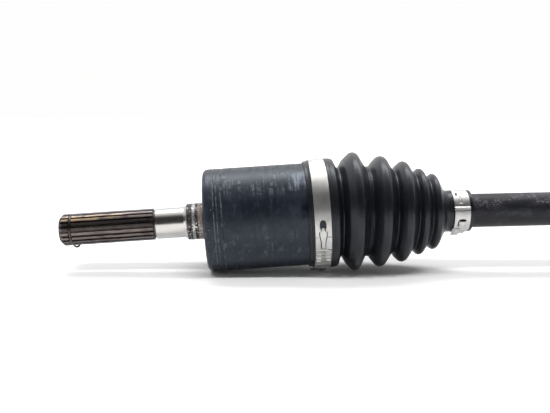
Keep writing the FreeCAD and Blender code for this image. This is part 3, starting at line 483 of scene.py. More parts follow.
def large_clamp(end, material):
    """Wide band with a hook slot, tongue, lap edge, crimp ribs and a lug.

    Its details are placed by degrees from the front and by mm across the band.
    """
    name = f"{end.side}_large_clamp"
    spine, start = end.spine, end.boot["clamp"]
    outer = end.boot["cuff"] + BAND_PLAY + BAND_THICKNESS
    slot_at, slot_across = -7.6, 4.8
    pocket_at = -33.2
    lap_low, lap_high = -20.5, -19.4
    first_rib, rib_pitch, rib_count = -37.0, 5.4, 4

    def height(angle, c):
        r = outer - rolled(c)
        r += 0.32 * step(lap_low, -19.2, angle) * (1 - step(35, 80, angle))
        round_slot = math.hypot(math.radians(angle - slot_at) * outer / 4.1, (c - 5.2) / 2.9) - 1
        r += 0.12 * hump(0, 1.0, round_slot) * hump(slot_at, 12, angle)
        for k in range(rib_count):
            rib = first_rib - rib_pitch * k
            left = hump(rib, 1.7, angle) * step(0.3, 1.0, c) * (1 - step(2.9, 3.6, c))
            right = hump(rib + 1.4, 1.7, angle) * step(6.4, 7.1, c) * (1 - step(9.2, 9.8, c))
            middle = hump(rib - 1.9, 2.1, angle) * hump(5.0, 1.7, c)
            r += 0.8 * (left + right) - 0.45 * middle
        return r + 0.35 * step(-58, -62, angle) * (1 - step(-84, -90, angle))

    def shown(angle, c):
        hook = oblong(angle, c, slot_at, slot_across, 3.35, 2.05, outer)
        pocket = oblong(angle, c, pocket_at, slot_across, 0.75, 1.75, outer)
        beside = pocket_at < angle < -10 and abs(c - slot_across) < tongue_half(angle) + 0.55
        lap = lap_low < angle < lap_high and c > 7.3
        return not (hook or pocket or beside or lap)

    rows = rows_between(-62, 6, 0.3) + rows_between(6, 298, 2.0)[1:]
    lug = [(-74, 0.1), (-79, 0.4), (-80.5, 1.0), (-80.6, 1.7), (-83, 2.15), (-86, 2.1), (-88.2, 1.7),
           (-88.5, 1.1), (-88.2, 0.5), (-92, 0.15), (-98, 0.1)]
    turns = [math.radians(30 * k) for k in range(11)]
    curl = [(-84.8 + 1.2 * math.cos(a), 1.3 + 0.7 * math.sin(a)) for a in turns]
    tail = [(-66, 0.35), (-72, 0.75), (-78, 1.25), (-82, 1.3)]
    plates = [
        strip(spine, start, band_columns(0.17), rows, height, shown, HOOK_TURN),
        tongue_plate(spine, start, outer, slot_across),
        bent_plate(spine, start + 1.6, 5.4, outer, lug, 0.6),
        bent_plate(spine, start + 6.3, 1.6, outer, curl, 0.35),
        bent_plate(spine, start - 2.6, 4.2, outer, tail, 0.5),
    ]
    made = joined_object(name, plates, material)
    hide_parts(name)
    return made


def small_clamp(end, material):
    """Small band with a folded step, a hooked bump, slots and a short ear."""
    name = f"{end.side}_small_clamp"
    spine, start = end.spine, SMALL_CLAMP_AT
    outer = COLLAR + BAND_PLAY + BAND_THICKNESS

    def height(angle, c):
        r = outer - rolled(c) + 1.05 * hump(16.0, 4.2, angle) - 0.22 * hump(10.2, 1.8, angle)
        r += 0.5 * step(-52, -44, angle) * (1 - step(8.2, 10, angle))
        r += 1.35 * hump(-27, 17, angle) * hump(5.0, 2.9, c) ** 0.6 * step(-14.5, -17, angle)
        wedge = step(52, 48, angle) * (1 - step(31, 28, angle))
        narrow = 0.5 + 1.0 * step(50, 29, angle)
        return r - 0.2 * wedge * (1 - step(narrow * 0.6, narrow, abs(c - 4.2)))

    def shown(angle, c):
        slot = oblong(angle, c, 59.0, 2.1 + (angle - 59) * 0.045, 1.7, 0.75, outer)
        arch = oblong(angle, c, -17.6, 4.9, 0.95, 2.3, outer) and angle > -19.6
        leg = oblong(angle, c, -27, 2.4, 2.0, 0.42, outer)
        dent = oblong(angle, c, 61.0, 0.9, 1.1, 0.25, outer)
        return not (slot or arch or leg or dent)

    rows = rows_between(-70, 75, 0.9) + rows_between(75, 290, 3.0)[1:]
    ear = [(-44, 0.5), (-52, 0.6), (-60, 1.0), (-67, 1.5), (-74, 1.7)]
    under = [(-62, 0.05), (-72, 0.7), (-80, 0.75), (-92, 0.1)]
    plates = [
        strip(spine, start, band_columns(0.25), rows, height, shown),
        bent_plate(spine, start - 0.7, 4.8, outer, ear, 0.55),
        bent_plate(spine, start + 1.5, 6.5, outer, under, 0.5),
    ]
    made = joined_object(name, plates, material)
    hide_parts(name)
    return made


# --- wire
def wire(name, path, radius, material, sides=14):
    """Round wire along a path of points, with closed ends."""
    points = []
    last = len(path) - 1
    spoke = BAR_AXIS.copy()
    for i, at in enumerate(path):
        along = (path[min(i + 1, last)] - path[max(i - 1, 0)]).normalized()
        spoke = (spoke - along * spoke.dot(along)).normalized()
        other = along.cross(spoke)
        for k in range(sides):
            a = 2 * math.pi * k / sides
            points.append(at + (spoke * math.cos(a) + other * math.sin(a)) * (radius * MM))
    faces = tube_faces(len(path), sides)
    faces.append(tuple(range(sides))[::-1])
    faces.append(tuple(last * sides + k for k in range(sides)))
    return joined_object(name, [(points, faces)], material)


def stub_clip(material):
    """Open wire ring in the stub's groove, one end bent out into a small eye."""
    groove, ring_radius, wire_radius = -142.5, 9.55, 0.6
    eye_half, eye_drop, eye_radius = 1.7, 1.5, 9.9
    path = []
    for k in range(13):
        a = math.radians(15 * k)
        along = groove + eye_half * (1 + math.cos(a))
        path.append(place(inboard_spine, along, eye_radius + eye_drop * math.sin(a), -90))
    bend = ((-89.2, 9.7), (-87.6, 9.6))
    ring = [(angle, ring_radius) for angle in range(-85, 226, 5)]
    for angle, radius in (*bend, *ring):
        path.append(place(inboard_spine, groove, radius, angle))
    made = wire("inboard_stub_clip", path, wire_radius, material)
    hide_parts("inboard_stub_clip")
    return made


# --- materials
class Nodes:
    """Short names for adding nodes to one tree."""

    def __init__(self, tree):
        self.tree = tree
        tree.nodes.clear()

    def node(self, kind, **settings):
        made = self.tree.nodes.new(kind)
        for key, value in settings.items():
            setattr(made, key, value)
        return made

    def feed(self, socket, value):
        """Link an output to a socket, or set the socket to a number or a colour."""
        if hasattr(value, "is_linked"):
            self.tree.links.new(value, socket)
        elif socket.type == "RGBA":
            socket.default_value = (*value[:3], 1)
        else:
            socket.default_value = value

    def maths(self, operation, a, b=0.0, c=0.0):
        made = self.node("ShaderNodeMath", operation=operation)
        for socket, value in zip(made.inputs, (a, b, c)):
            self.feed(socket, value)
        return made.outputs[0]

    def vector(self, operation, a, b=(0, 0, 0)):
        made = self.node("ShaderNodeVectorMath", operation=operation)
        self.feed(made.inputs[0], a)
        self.feed(made.inputs[1], b)
        return made.outputs["Value" if operation in ("DOT_PRODUCT", "LENGTH") else "Vector"]

    def combine(self, x, y, z):
        made = self.node("ShaderNodeCombineXYZ")
        for socket, value in zip(made.inputs, (x, y, z)):
            self.feed(socket, value)
        return made.outputs[0]

    def between(self, value, low, high, start=0.0, end=1.0):
        """Smooth from start to end as value goes from low to high, either way round."""
        if low > high:
            low, high, start, end = high, low, end, start
        made = self.node("ShaderNodeMapRange", interpolation_type="SMOOTHSTEP")
        self.feed(made.inputs["Value"], value)
        for socket, number in zip(made.inputs[1:5], (low, high, start, end)):
            socket.default_value = number
        return made.outputs[0]


class Surface(Nodes):
    """A material under construction; fixed are shader settings, with _ for a space."""

    def __init__(self, name, **fixed):
        self.material = bpy.data.materials.new(name)
        self.material.use_nodes = True
        super().__init__(self.material.node_tree)
        self.shader = self.node("ShaderNodeBsdfPrincipled")
        output = self.node("ShaderNodeOutputMaterial")
        self.tree.links.new(self.shader.outputs[0], output.inputs["Surface"])
        self.place = self.node("ShaderNodeTexCoord").outputs["Object"]
        for socket, value in fixed.items():
            self.shader.inputs[socket.replace("_", " ")].default_value = value

    def in_mm(self):
        """The point in the row frame, in mm."""
        return self.vector("MULTIPLY", self.place, (1 / MM, 1 / MM, 1 / MM))

    def noise(self, where, scale, detail=4.0, rough=0.55, warp=0.0):
        made = self.node("ShaderNodeTexNoise")
        settings = {"Vector": where, "Scale": scale, "Detail": detail, "Roughness": rough, "Distortion": warp}
        for socket, value in settings.items():
            self.feed(made.inputs[socket], value)
        return made.outputs["Fac"]

    def grain(self, body, waves, detail, rough=0.55, warp=0.0):
        """Noise with its own number of waves per mm along, across and up."""
        return self.noise(self.vector("MULTIPLY", body, waves), 1.0, detail, rough, warp)

    def cells(self, where, scale):
        made = self.node("ShaderNodeTexVoronoi", feature="F1")
        self.feed(made.inputs["Vector"], where)
        self.feed(made.inputs["Scale"], scale)
        return made.outputs["Distance"]

    def band(self, value, low, high, soft):
        """1 between low and high, with soft edges."""
        rise = self.between(value, low - soft, low + soft)
        fall = self.between(value, high + soft, high - soft)
        return self.times(rise, fall)

    def times(self, *values):
        result = values[0]
        for value in values[1:]:
            result = self.maths("MULTIPLY", result, value)
        return result

    def plus(self, *values):
        result = values[0]
        for value in values[1:]:
            result = self.maths("ADD", result, value)
        return result

    def most(self, a, b):
        return self.maths("MAXIMUM", a, b)

    def least(self, a, b):
        return self.maths("MINIMUM", a, b)

    def mix(self, factor, a, b):
        """From colour a to colour b as factor goes from 0 to 1."""
        made = self.node("ShaderNodeMix", data_type="RGBA")
        self.feed(made.inputs[0], factor)
        self.feed(made.inputs[6], a)
        self.feed(made.inputs[7], b)
        return made.outputs[2]

    def over(self, base, colour, *masks):
        """Base with a colour laid over it where all the masks say so."""
        return self.mix(self.times(*masks), base, colour)

    def blend(self, factor, a, b):
        """From number a to number b as factor goes from 0 to 1."""
        made = self.node("ShaderNodeMix", data_type="FLOAT")
        self.feed(made.inputs[0], factor)
        self.feed(made.inputs[2], a)
        self.feed(made.inputs[3], b)
        return made.outputs[0]

    def ramp(self, factor, *stops):
        made = self.node("ShaderNodeValToRGB")
        self.feed(made.inputs[0], factor)
        elements = made.color_ramp.elements
        while len(elements) < len(stops):
            elements.new(0.5)
        for element, (at, colour) in zip(elements, stops):
            element.position = at
            element.color = (*colour, 1)
        return made.outputs[0]

    def finish(self, colour, rough, relief, depth):
        """Colour, roughness and a relief of 0 to 1 with its depth in mm; gives the material."""
        bump = self.node("ShaderNodeBump")
        bump.inputs["Distance"].default_value = depth * MM
        self.feed(bump.inputs["Height"], relief)
        self.feed(self.shader.inputs["Base Color"], colour)
        self.feed(self.shader.inputs["Roughness"], rough)
        self.tree.links.new(bump.outputs[0], self.shader.inputs["Normal"])
        return self.material


PAINT_TINT = (0.8, 0.9, 1.0, 1)
BARE_CHIP = (0.42, 0.44, 0.45)
DULL_STEEL = ((0.22, 0.2, 0.17), (0.34, 0.32, 0.28))  # dark and light tones of a machined inside


def axle_space(surface, origin, axis):
    """Distance along a line, height over it, distance from it, and the point (along, back, rise).

    All are in mm. Rise is towards the top where the axis points to +X, and towards the bottom
    where it points to -X.
    """
    local = surface.vector("SUBTRACT", surface.place, tuple(origin))
    up = Vector((-axis.z, 0, axis.x))
    along, back, rise = (
        surface.vector("DOT_PRODUCT", local, tuple(way / MM)) for way in (axis, Vector((0, 1, 0)), up)
    )
    radius = surface.vector("LENGTH", surface.combine(0.0, back, rise))
    return along, rise, radius, surface.combine(along, back, rise)


def turned_lines(surface, along, scale):
    """Fine rings left by turning or grinding: noise that depends only on the place along."""
    return surface.noise(surface.combine(along, 0.0, 0.0), scale, 4, 0.6)


def shell_paint(m, s, rise, body, grime, streaks_from, streaks_to):
    """Blue-grey satin paint: mottled, streaked round the lathe, scuffed and chipped, with a painted highlight
    band along the top.
    """
    clouds = m.grain(body, (0.05, 0.11, 0.11), 6, 0.62, 0.6)
    streaks = m.grain(body, (1.6, 0.1, 0.1), 5, 0.65, 0.2)
    stripes = m.grain(body, (0.62, 0.05, 0.05), 5, 0.62, 0.3)
    patch = m.grain(body, (0.1, 0.16, 0.16), 4, 0.6, 0.8)
    mottle = m.grain(body, (0.3, 0.13, 0.13), 6, 0.68, 0.6)
    smear = m.between(m.grain(body, (0.22, 0.05, 0.07), 5, 0.7, 1.2), 0.5, 0.62)
    paint = m.ramp(clouds, (0.25, (0.004, 0.0058, 0.0105)), (0.5, (0.0072, 0.01, 0.0165)),
                   (0.75, (0.015, 0.02, 0.029)))
    # painted highlight: pale patches in a band along the top of the paint, where the overhead light reflects
    high = m.band(rise, 19.0, 30.0, 3.0)
    painted_highlight = m.times(m.between(stripes, 0.46, 0.62), m.between(patch, 0.42, 0.6), high)
    paint = m.over(paint, (0.135, 0.158, 0.178), painted_highlight, 0.7)
    paint = m.over(paint, (0.034, 0.042, 0.054), m.between(mottle, 0.5, 0.68), 0.35)
    paint = m.over(paint, (0.003, 0.004, 0.007), m.between(mottle, 0.46, 0.32), 0.5)
    turned = m.times(m.between(streaks, 0.6, 0.78), m.band(s, streaks_from, streaks_to, 3.0))
    paint = m.over(paint, (0.085, 0.1, 0.115), turned, 0.4)
    low = m.band(rise, -22.0, -6.0, 4.0)
    paint = m.over(paint, (0.072, 0.082, 0.096), smear, m.between(patch, 0.44, 0.58), low, 0.6)
    corner = m.plus(m.band(s, streaks_from - 1.0, streaks_from + 6.0, 1.0), 0.1)
    chips = m.times(m.between(m.cells(body, 0.42), 0.13, 0.05), m.between(grime, 0.5, 0.62), corner)
    paint = m.mix(m.least(m.times(chips, 0.8), 1.0), paint, BARE_CHIP)
    rough = m.plus(m.blend(clouds, 0.3, 0.52), m.times(smear, 0.12), m.times(m.plus(stripes, -0.5), 0.55))
    return paint, rough, stripes, chips


def spline_oxide(m, s, rise, radius, body, grime):
    """Phosphated splines: brown in the flutes with painted shade at their floors, rubbed bright on the teeth,
    with a painted golden highlight on the teeth near the top.
    """
    brown = m.ramp(grime, (0.3, (0.07, 0.058, 0.056)), (0.52, (0.125, 0.106, 0.104)),
                   (0.72, (0.21, 0.165, 0.135)))
    wear = m.between(m.grain(body, (0.1, 0.5, 0.5), 5, 0.6), 0.36, 0.62)
    rubbed = m.times(m.between(radius, 9.35, 10.0), wear)
    # painted highlight: a golden glint along the teeth facing up and to the front
    gold_highlight = m.times(m.band(rise, 6.2, 8.8, 0.8), m.between(s, -98.0, -124.0))
    rubbed_with_highlight = m.mix(gold_highlight, (0.2, 0.172, 0.165), (0.58, 0.42, 0.25))
    colour = m.over(brown, rubbed_with_highlight, rubbed, 0.8)
    # painted shade: the flute floors darkened
    colour = m.over(colour, (0.016, 0.012, 0.011), m.between(radius, 9.2, 8.85), 0.6)
    colour = m.over(colour, (0.07, 0.065, 0.06), m.between(s, -148.0, -149.2), 0.5)
    return colour, rubbed


def pitted_collar(m, s, body, bright):
    """Ground collar with two pitted, stained bands and a rusted end."""
    holes = m.cells(m.vector("MULTIPLY", body, (1.0, 1.15, 1.15)), 1.5)
    field = m.noise(body, 0.55, 5, 0.65)
    outer_band = m.band(s, -68.5, -65.2, 0.45)
    inner_band = m.band(s, -63.2, -61.3, 0.35)
    sparse = m.times(m.band(s, -69.0, -58.0, 0.8), 0.5)
    density = m.least(m.plus(outer_band, m.times(inner_band, 0.85), sparse), 1.0)
    uneven = m.plus(holes, m.times(m.plus(field, -0.5), -1.5))
    pits = m.times(m.between(uneven, 0.7, 0.5), density)
    stain = m.times(m.plus(outer_band, inner_band), m.between(field, 0.3, 0.52), 0.8)
    colour = m.mix(stain, bright, (0.13, 0.118, 0.1))
    colour = m.mix(pits, colour, (0.006, 0.005, 0.004))
    rust = m.times(m.band(s, -61.0, -58.3, 0.5), m.between(m.noise(body, 0.8, 6, 0.7), 0.36, 0.58))
    colour = m.over(colour, (0.21, 0.125, 0.082), rust, 0.8)
    colour = m.over(colour, (0.05, 0.026, 0.018), m.band(s, -58.6, -56.9, 0.35), 0.85)
    return colour, pits, rust


def cup_marks(m, paint, s, rise, radius, body, stripes, painted_dark_patch):
    """The marks that only the cup has, on its paint, with a painted highlight on top near the cuff and a
    painted dark reflection lower down.
    """
    # painted highlight: a pale bluish patch on top near the cuff
    highlight_near_cuff = m.times(m.band(s, -0.8, 7.0, 0.7), m.band(rise, 22.5, 28.5, 1.5))
    paint = m.over(paint, (0.155, 0.185, 0.225), highlight_near_cuff, m.between(stripes, 0.3, 0.56), 0.75)
    # painted reflection: a dark patch near the cuff, a little above mid-height
    paint = m.over(paint, (0.003, 0.0036, 0.006), painted_dark_patch, 0.7)
    lathe_marks = ((-50.45, -49.8), (-48.55, -47.9), (-45.65, -44.95))
    rings = m.plus(*(m.band(s, low, high, 0.12) for low, high in lathe_marks))
    scuffed = m.times(rings, m.between(m.noise(body, 0.35, 4, 0.6), 0.4, 0.62))
    paint = m.over(paint, (0.16, 0.175, 0.19), scuffed, 0.55)
    edge_wear = m.times(m.band(s, -57.2, -53.8, 0.5), m.between(m.noise(body, 0.9, 5, 0.7), 0.6, 0.72))
    paint = m.over(paint, BARE_CHIP, edge_wear, 0.35)
    face = m.times(m.between(s, -56.2, -56.8), m.between(radius, 29.5, 28.0))
    return m.over(paint, (0.016, 0.017, 0.02), face, 0.5)


def cup_material():
    """Oxidised splines, ground journal, pitted and rusted collar, painted cup."""
    m = Surface("cup_finish", Specular_IOR_Level=0.42, Specular_Tint=PAINT_TINT)
    s, rise, radius, body = axle_space(m, IB, CUP_AXIS)
    grime = m.noise(body, 0.16, 6, 0.6, 0.4)
    fine = m.noise(body, 1.3, 6, 0.6)
    speck = m.noise(body, 4.2, 3, 0.6)
    lines = turned_lines(m, s, 6.0)

    # zones: where each finish lies along the forging, in mm from the joint
    splines_end, journal_end, collar_end, soft = -89.05, -69.4, -57.0, 0.25
    splines = m.between(s, splines_end + soft, splines_end - soft)
    journal = m.band(s, splines_end, journal_end, soft)
    collar = m.band(s, journal_end, collar_end, soft)
    painted = m.between(s, collar_end - 0.3, collar_end + 0.1)
    inner = m.times(m.between(radius, 26.6, 25.8), m.between(s, -45.5, -44.5))

    paint, paint_rough, stripes, chips = shell_paint(m, s, rise, body, grime, -56.0, -38.0)
    # where the painted dark reflection near the cuff lies; it is also made smoother there
    painted_dark_patch = m.times(m.band(s, 3.0, 9.0, 1.5), m.band(rise, -2.5, 12.5, 2.5))
    paint = cup_marks(m, paint, s, rise, radius, body, stripes, painted_dark_patch)
    paint_rough = m.plus(paint_rough, m.times(painted_dark_patch, -0.22))
    spline_colour, rubbed = spline_oxide(m, s, rise, radius, body, grime)
    dull = m.times(m.between(fine, 0.55, 0.8), 0.35)
    bright = m.mix(m.between(lines, 0.35, 0.7), (0.52, 0.5, 0.48), (0.69, 0.675, 0.645))
    bright = m.mix(dull, bright, (0.4, 0.385, 0.36))
    collar_colour, pits, rust = pitted_collar(m, s, body, bright)

    colour = m.mix(splines, bright, spline_colour)
    colour = m.mix(collar, colour, collar_colour)
    colour = m.mix(painted, colour, paint)
    colour = m.mix(inner, colour, m.mix(fine, *DULL_STEEL))
    covered = m.most(painted, m.times(collar, m.most(pits, m.times(rust, 0.8))))
    m.feed(m.shader.inputs["Metallic"], m.most(m.maths("SUBTRACT", 1.0, covered), inner))
    metal_rough = m.plus(0.16, m.times(lines, 0.14), m.times(dull, 0.3))
    rough = m.blend(splines, metal_rough, m.plus(0.34, m.times(grime, 0.22), m.times(rubbed, -0.08)))
    rough = m.blend(m.times(collar, m.most(pits, rust)), rough, 0.7)
    rough = m.blend(painted, rough, paint_rough)
    relief = m.plus(
        m.times(painted, m.times(m.noise(body, 1.1, 4, 0.5), 0.16)),
        m.times(m.maths("SUBTRACT", 1.0, painted), m.times(fine, 0.08)),
        m.times(splines, m.times(speck, 0.22)),
        m.times(pits, collar, -0.9),
        m.times(rust, collar, m.times(speck, 0.7)),
        m.times(journal, m.times(lines, 0.1)),
        m.times(chips, painted, -0.3),
    )
    return m.finish(colour, rough, relief, 0.12)


def bell_material():
    """Thread, hub splines, ground bearing seat and painted bell."""
    m = Surface("bell_finish", Specular_IOR_Level=0.42, Specular_Tint=PAINT_TINT)
    s, rise, radius, body = axle_space(m, OB, -BAR_AXIS)
    grime = m.noise(body, 0.16, 6, 0.6, 0.4)
    fine = m.noise(body, 1.3, 6, 0.6)
    lines = turned_lines(m, s, 5.0)

    # zones along the forging, in mm from the joint
    machined = m.between(s, -41.4, -42.0)
    teeth = m.band(s, -100.2, -65.7, 0.3)
    thread = m.between(s, -99.8, -100.4)
    inner = m.times(m.between(radius, 36.5, 35.9), m.between(s, -24.5, -23.0))

    paint, paint_rough, _, chips = shell_paint(m, s, rise, body, grime, -26.0, -12.0)
    bright = m.mix(m.between(lines, 0.35, 0.7), (0.55, 0.54, 0.52), (0.76, 0.745, 0.715))
    bright = m.over(bright, (0.38, 0.36, 0.33), m.between(fine, 0.55, 0.8), 0.35)
    brown = m.ramp(grime, (0.3, (0.06, 0.05, 0.046)), (0.52, (0.105, 0.092, 0.088)),
                   (0.72, (0.19, 0.15, 0.115)))
    brown = m.over(brown, (0.36, 0.33, 0.3), m.between(radius, 11.9, 12.5), m.between(fine, 0.35, 0.65), 0.7)
    # painted shade: the flute floors darkened
    brown = m.over(brown, (0.012, 0.009, 0.008), m.between(radius, 11.7, 11.45), 0.7)
    # the thread's roots are darker than its crests: painted shade
    zinc = m.mix(m.between(radius, 9.0, 9.85), (0.085, 0.078, 0.07), (0.36, 0.34, 0.31))
    zinc = m.over(zinc, (0.2, 0.12, 0.075), m.between(grime, 0.52, 0.68), 0.5)

    colour = m.mix(machined, paint, bright)
    colour = m.mix(teeth, colour, brown)
    colour = m.mix(thread, colour, zinc)
    colour = m.mix(inner, colour, m.mix(fine, *DULL_STEEL))
    m.feed(m.shader.inputs["Metallic"], m.most(machined, inner))
    rough = m.blend(machined, paint_rough, m.plus(0.17, m.times(lines, 0.14)))
    rough = m.blend(m.most(teeth, thread), rough, m.plus(0.32, m.times(grime, 0.25)))
    relief = m.plus(m.times(fine, 0.14), m.times(lines, machined, 0.1), m.times(chips, -0.3))
    return m.finish(colour, rough, relief, 0.12)


def bar_material():
    """Charcoal satin paint, scuffed purple-grey on top, bare splined ends."""
    m = Surface("bar_finish", Specular_IOR_Level=0.28)
    s, rise, radius, body = axle_space(m, Vector((0, 0, 0)), BAR_AXIS)
    clouds = m.grain(body, (0.1, 0.22, 0.22), 6, 0.65, 0.5)
    fine = m.noise(body, 1.2, 6, 0.65)
    paint = m.ramp(clouds, (0.25, (0.004, 0.0042, 0.0062)), (0.5, (0.0075, 0.0079, 0.0112)),
                   (0.75, (0.015, 0.0158, 0.0205)))
    top = m.between(rise, 1.5, 8.0)
    crackle = m.between(m.grain(body, (0.55, 0.8, 0.8), 6, 0.75, 1.2), 0.47, 0.62)
    clusters = m.between(m.grain(body, (0.085, 0.12, 0.12), 3, 0.5), 0.42, 0.6)
    scuff = m.times(m.plus(m.times(top, 0.9), 0.12), crackle, clusters)
    paint = m.over(paint, (0.165, 0.15, 0.175), scuff, 0.75)
    grey = m.times(m.band(rise, -3.0, 4.0, 2.0), m.between(clouds, 0.46, 0.66))
    paint = m.over(paint, (0.036, 0.044, 0.048), grey, 0.3)
    scratch = m.between(m.grain(body, (0.06, 1.6, 1.6), 4, 0.6), 0.68, 0.76)
    paint = m.over(paint, (0.22, 0.21, 0.21), scratch, top, 0.25)
    bare = m.between(m.maths("ABSOLUTE", s), 160.5, 162.5)
    steel = m.mix(fine, (0.28, 0.26, 0.24), (0.46, 0.44, 0.41))
    # painted shade: the spline roots of the bare ends darkened
    steel = m.over(steel, (0.03, 0.027, 0.024), m.between(radius, 8.9, 8.65), bare, 0.7)
    m.feed(m.shader.inputs["Metallic"], bare)
    paint_rough = m.plus(0.4, m.times(clouds, 0.22), m.times(scuff, 0.1))
    relief = m.plus(m.times(fine, 0.5), m.times(clouds, 0.5))
    return m.finish(m.mix(bare, paint, steel), m.blend(bare, paint_rough, 0.34), relief, 0.11)


def rubber_material(name, origin, axis, dust_at):
    """Near-black moulded rubber, satin, with faint dust and handling marks."""
    m = Surface(name, Specular_IOR_Level=0.42, Specular_Tint=(0.86, 0.92, 1.0, 1))
    s, _, _, body = axle_space(m, origin, axis)
    clouds = m.noise(body, 0.07, 5, 0.6, 0.3)
    fine = m.noise(body, 2.4, 5, 0.6)
    colour = m.ramp(clouds, (0.3, (0.004, 0.0043, 0.0058)), (0.7, (0.0078, 0.0082, 0.0102)))
    dust = m.between(m.grain(body, (0.9, 0.3, 0.3), 6, 0.7, 0.5), 0.55, 0.75)
    dusty = m.plus(m.band(s, dust_at, dust_at + 5.0, 1.5), 0.16)
    colour = m.over(colour, (0.105, 0.1, 0.098), dust, dusty, 0.34)
    rubs = m.between(m.grain(body, (3.2, 0.12, 0.12), 4, 0.6), 0.63, 0.74)
    colour = m.over(colour, (0.06, 0.062, 0.066), rubs, 0.14)
    flecks = m.times(m.between(m.cells(body, 0.55), 0.1, 0.04), m.between(clouds, 0.5, 0.62))
    colour = m.over(colour, (0.3, 0.3, 0.29), flecks, dusty, 0.7)
    rough = m.plus(0.28, m.times(clouds, 0.1), m.times(dust, dusty, 0.22), m.times(rubs, 0.05))
    return m.finish(colour, rough, m.plus(m.times(fine, 0.55), m.times(rubs, -0.2)), 0.045)


def clamp_material(name, origin, axis, lug_radius):
    """Rolled stainless band: fine lines round the hoop, faint stains and scratches, painted shade on the lug
    and between the crimp ribs.
    """
    m = Surface(name, Metallic=1.0)
    s, rise, radius, body = axle_space(m, origin, axis)
    lines = m.noise(m.combine(s, m.times(radius, 0.5), 0.0), 7.0, 4, 0.65)
    broad = m.noise(body, 0.13, 5, 0.6, 0.4)
    fine = m.noise(body, 1.7, 6, 0.6)
    colour = m.ramp(broad, (0.28, (0.48, 0.47, 0.455)), (0.55, (0.58, 0.575, 0.565)),
                    (0.78, (0.64, 0.64, 0.635)))
    colour = m.over(colour, (0.42, 0.4, 0.37), m.between(lines, 0.4, 0.72), 0.22)
    stain = m.times(m.between(m.noise(body, 0.3, 5, 0.65, 0.8), 0.58, 0.74), 0.35)
    colour = m.mix(stain, colour, (0.47, 0.4, 0.37))
    scratch = m.between(m.grain(body, (1.8, 0.25, 0.25), 5, 0.65, 0.3), 0.62, 0.72)
    colour = m.over(colour, (0.3, 0.28, 0.26), scratch, 0.3)
    # painted shade: the lug underneath darkened
    lug = m.times(m.between(radius, lug_radius, lug_radius + 0.5), m.between(rise, -28.0, -32.0))
    colour = m.over(colour, (0.05, 0.045, 0.042), lug, m.between(fine, 0.3, 0.55))
    # painted shade: the gaps between the crimp ribs darkened
    rib_shade = m.times(m.between(radius, lug_radius - 0.2, lug_radius - 0.9), m.band(rise, -29.0, -19.4, 0.6))
    colour = m.over(colour, (0.1, 0.095, 0.088), rib_shade, 0.7)
    rough = m.plus(0.34, m.times(lines, 0.12), m.times(fine, 0.08), m.times(stain, 0.25))
    return m.finish(colour, rough, m.plus(m.times(lines, 0.5), m.times(fine, 0.35)), 0.03)


def steel_material(name, dark, light, rough, waves, depth=0.03):
    """Bare steel with a cloudy tone, a little grease stain and fine grain."""
    m = Surface(name, Metallic=1.0)
    body = m.in_mm()
    fine = m.grain(body, waves, 5, 0.65)
    colour = m.mix(m.between(m.noise(body, 0.25, 5, 0.6, 0.4), 0.3, 0.7), dark, light)
    colour = m.over(colour, tuple(0.6 * c for c in dark), m.between(fine, 0.45, 0.75), 0.3)
    grease = m.between(m.noise(body, 0.6, 5, 0.7), 0.62, 0.76)
    colour = m.over(colour, (0.16, 0.12, 0.09), grease, 0.35)
    return m.finish(colour, m.plus(rough, m.times(fine, 0.12), m.times(grease, 0.15)), fine, depth)


def paint_node(name, material):
    """Give a CAD node its finish."""
    made = frame["nodes"][name]
    made.data.materials.clear()
    made.data.materials.append(material)


# --- build
paint_node("inboard_cup", cup_material())
paint_node("outboard_bell", bell_material())
paint_node("axle_bar", bar_material())
POLISHED = (0.8, 0.8, 0.8)  # waves per mm of its grain along X, Y and Z
TURNED = (2.5, 0.3, 0.3)
ball_steel = steel_material("ball_steel", (0.58, 0.58, 0.58), (0.72, 0.72, 0.71), 0.08, POLISHED, 0.004)
cage_steel = steel_material("cage_steel", (0.17, 0.16, 0.155), (0.27, 0.26, 0.25), 0.36, TURNED)
race_steel = steel_material("race_steel", (0.36, 0.35, 0.34), (0.50, 0.49, 0.47), 0.24, TURNED)
wire_steel = steel_material("wire_steel", (0.050, 0.046, 0.043), (0.17, 0.16, 0.15), 0.28, (1.2, 1.2, 1.2))
for node_name in frame["nodes"]:
    if "_ball_" in node_name:
        paint_node(node_name, ball_steel)
    elif node_name.endswith("_cage"):
        paint_node(node_name, cage_steel)
    elif node_name.endswith("_inner_race"):
        paint_node(node_name, race_steel)
    elif node_name.endswith(("_clip", "_stop_ring")):
        paint_node(node_name, wire_steel)

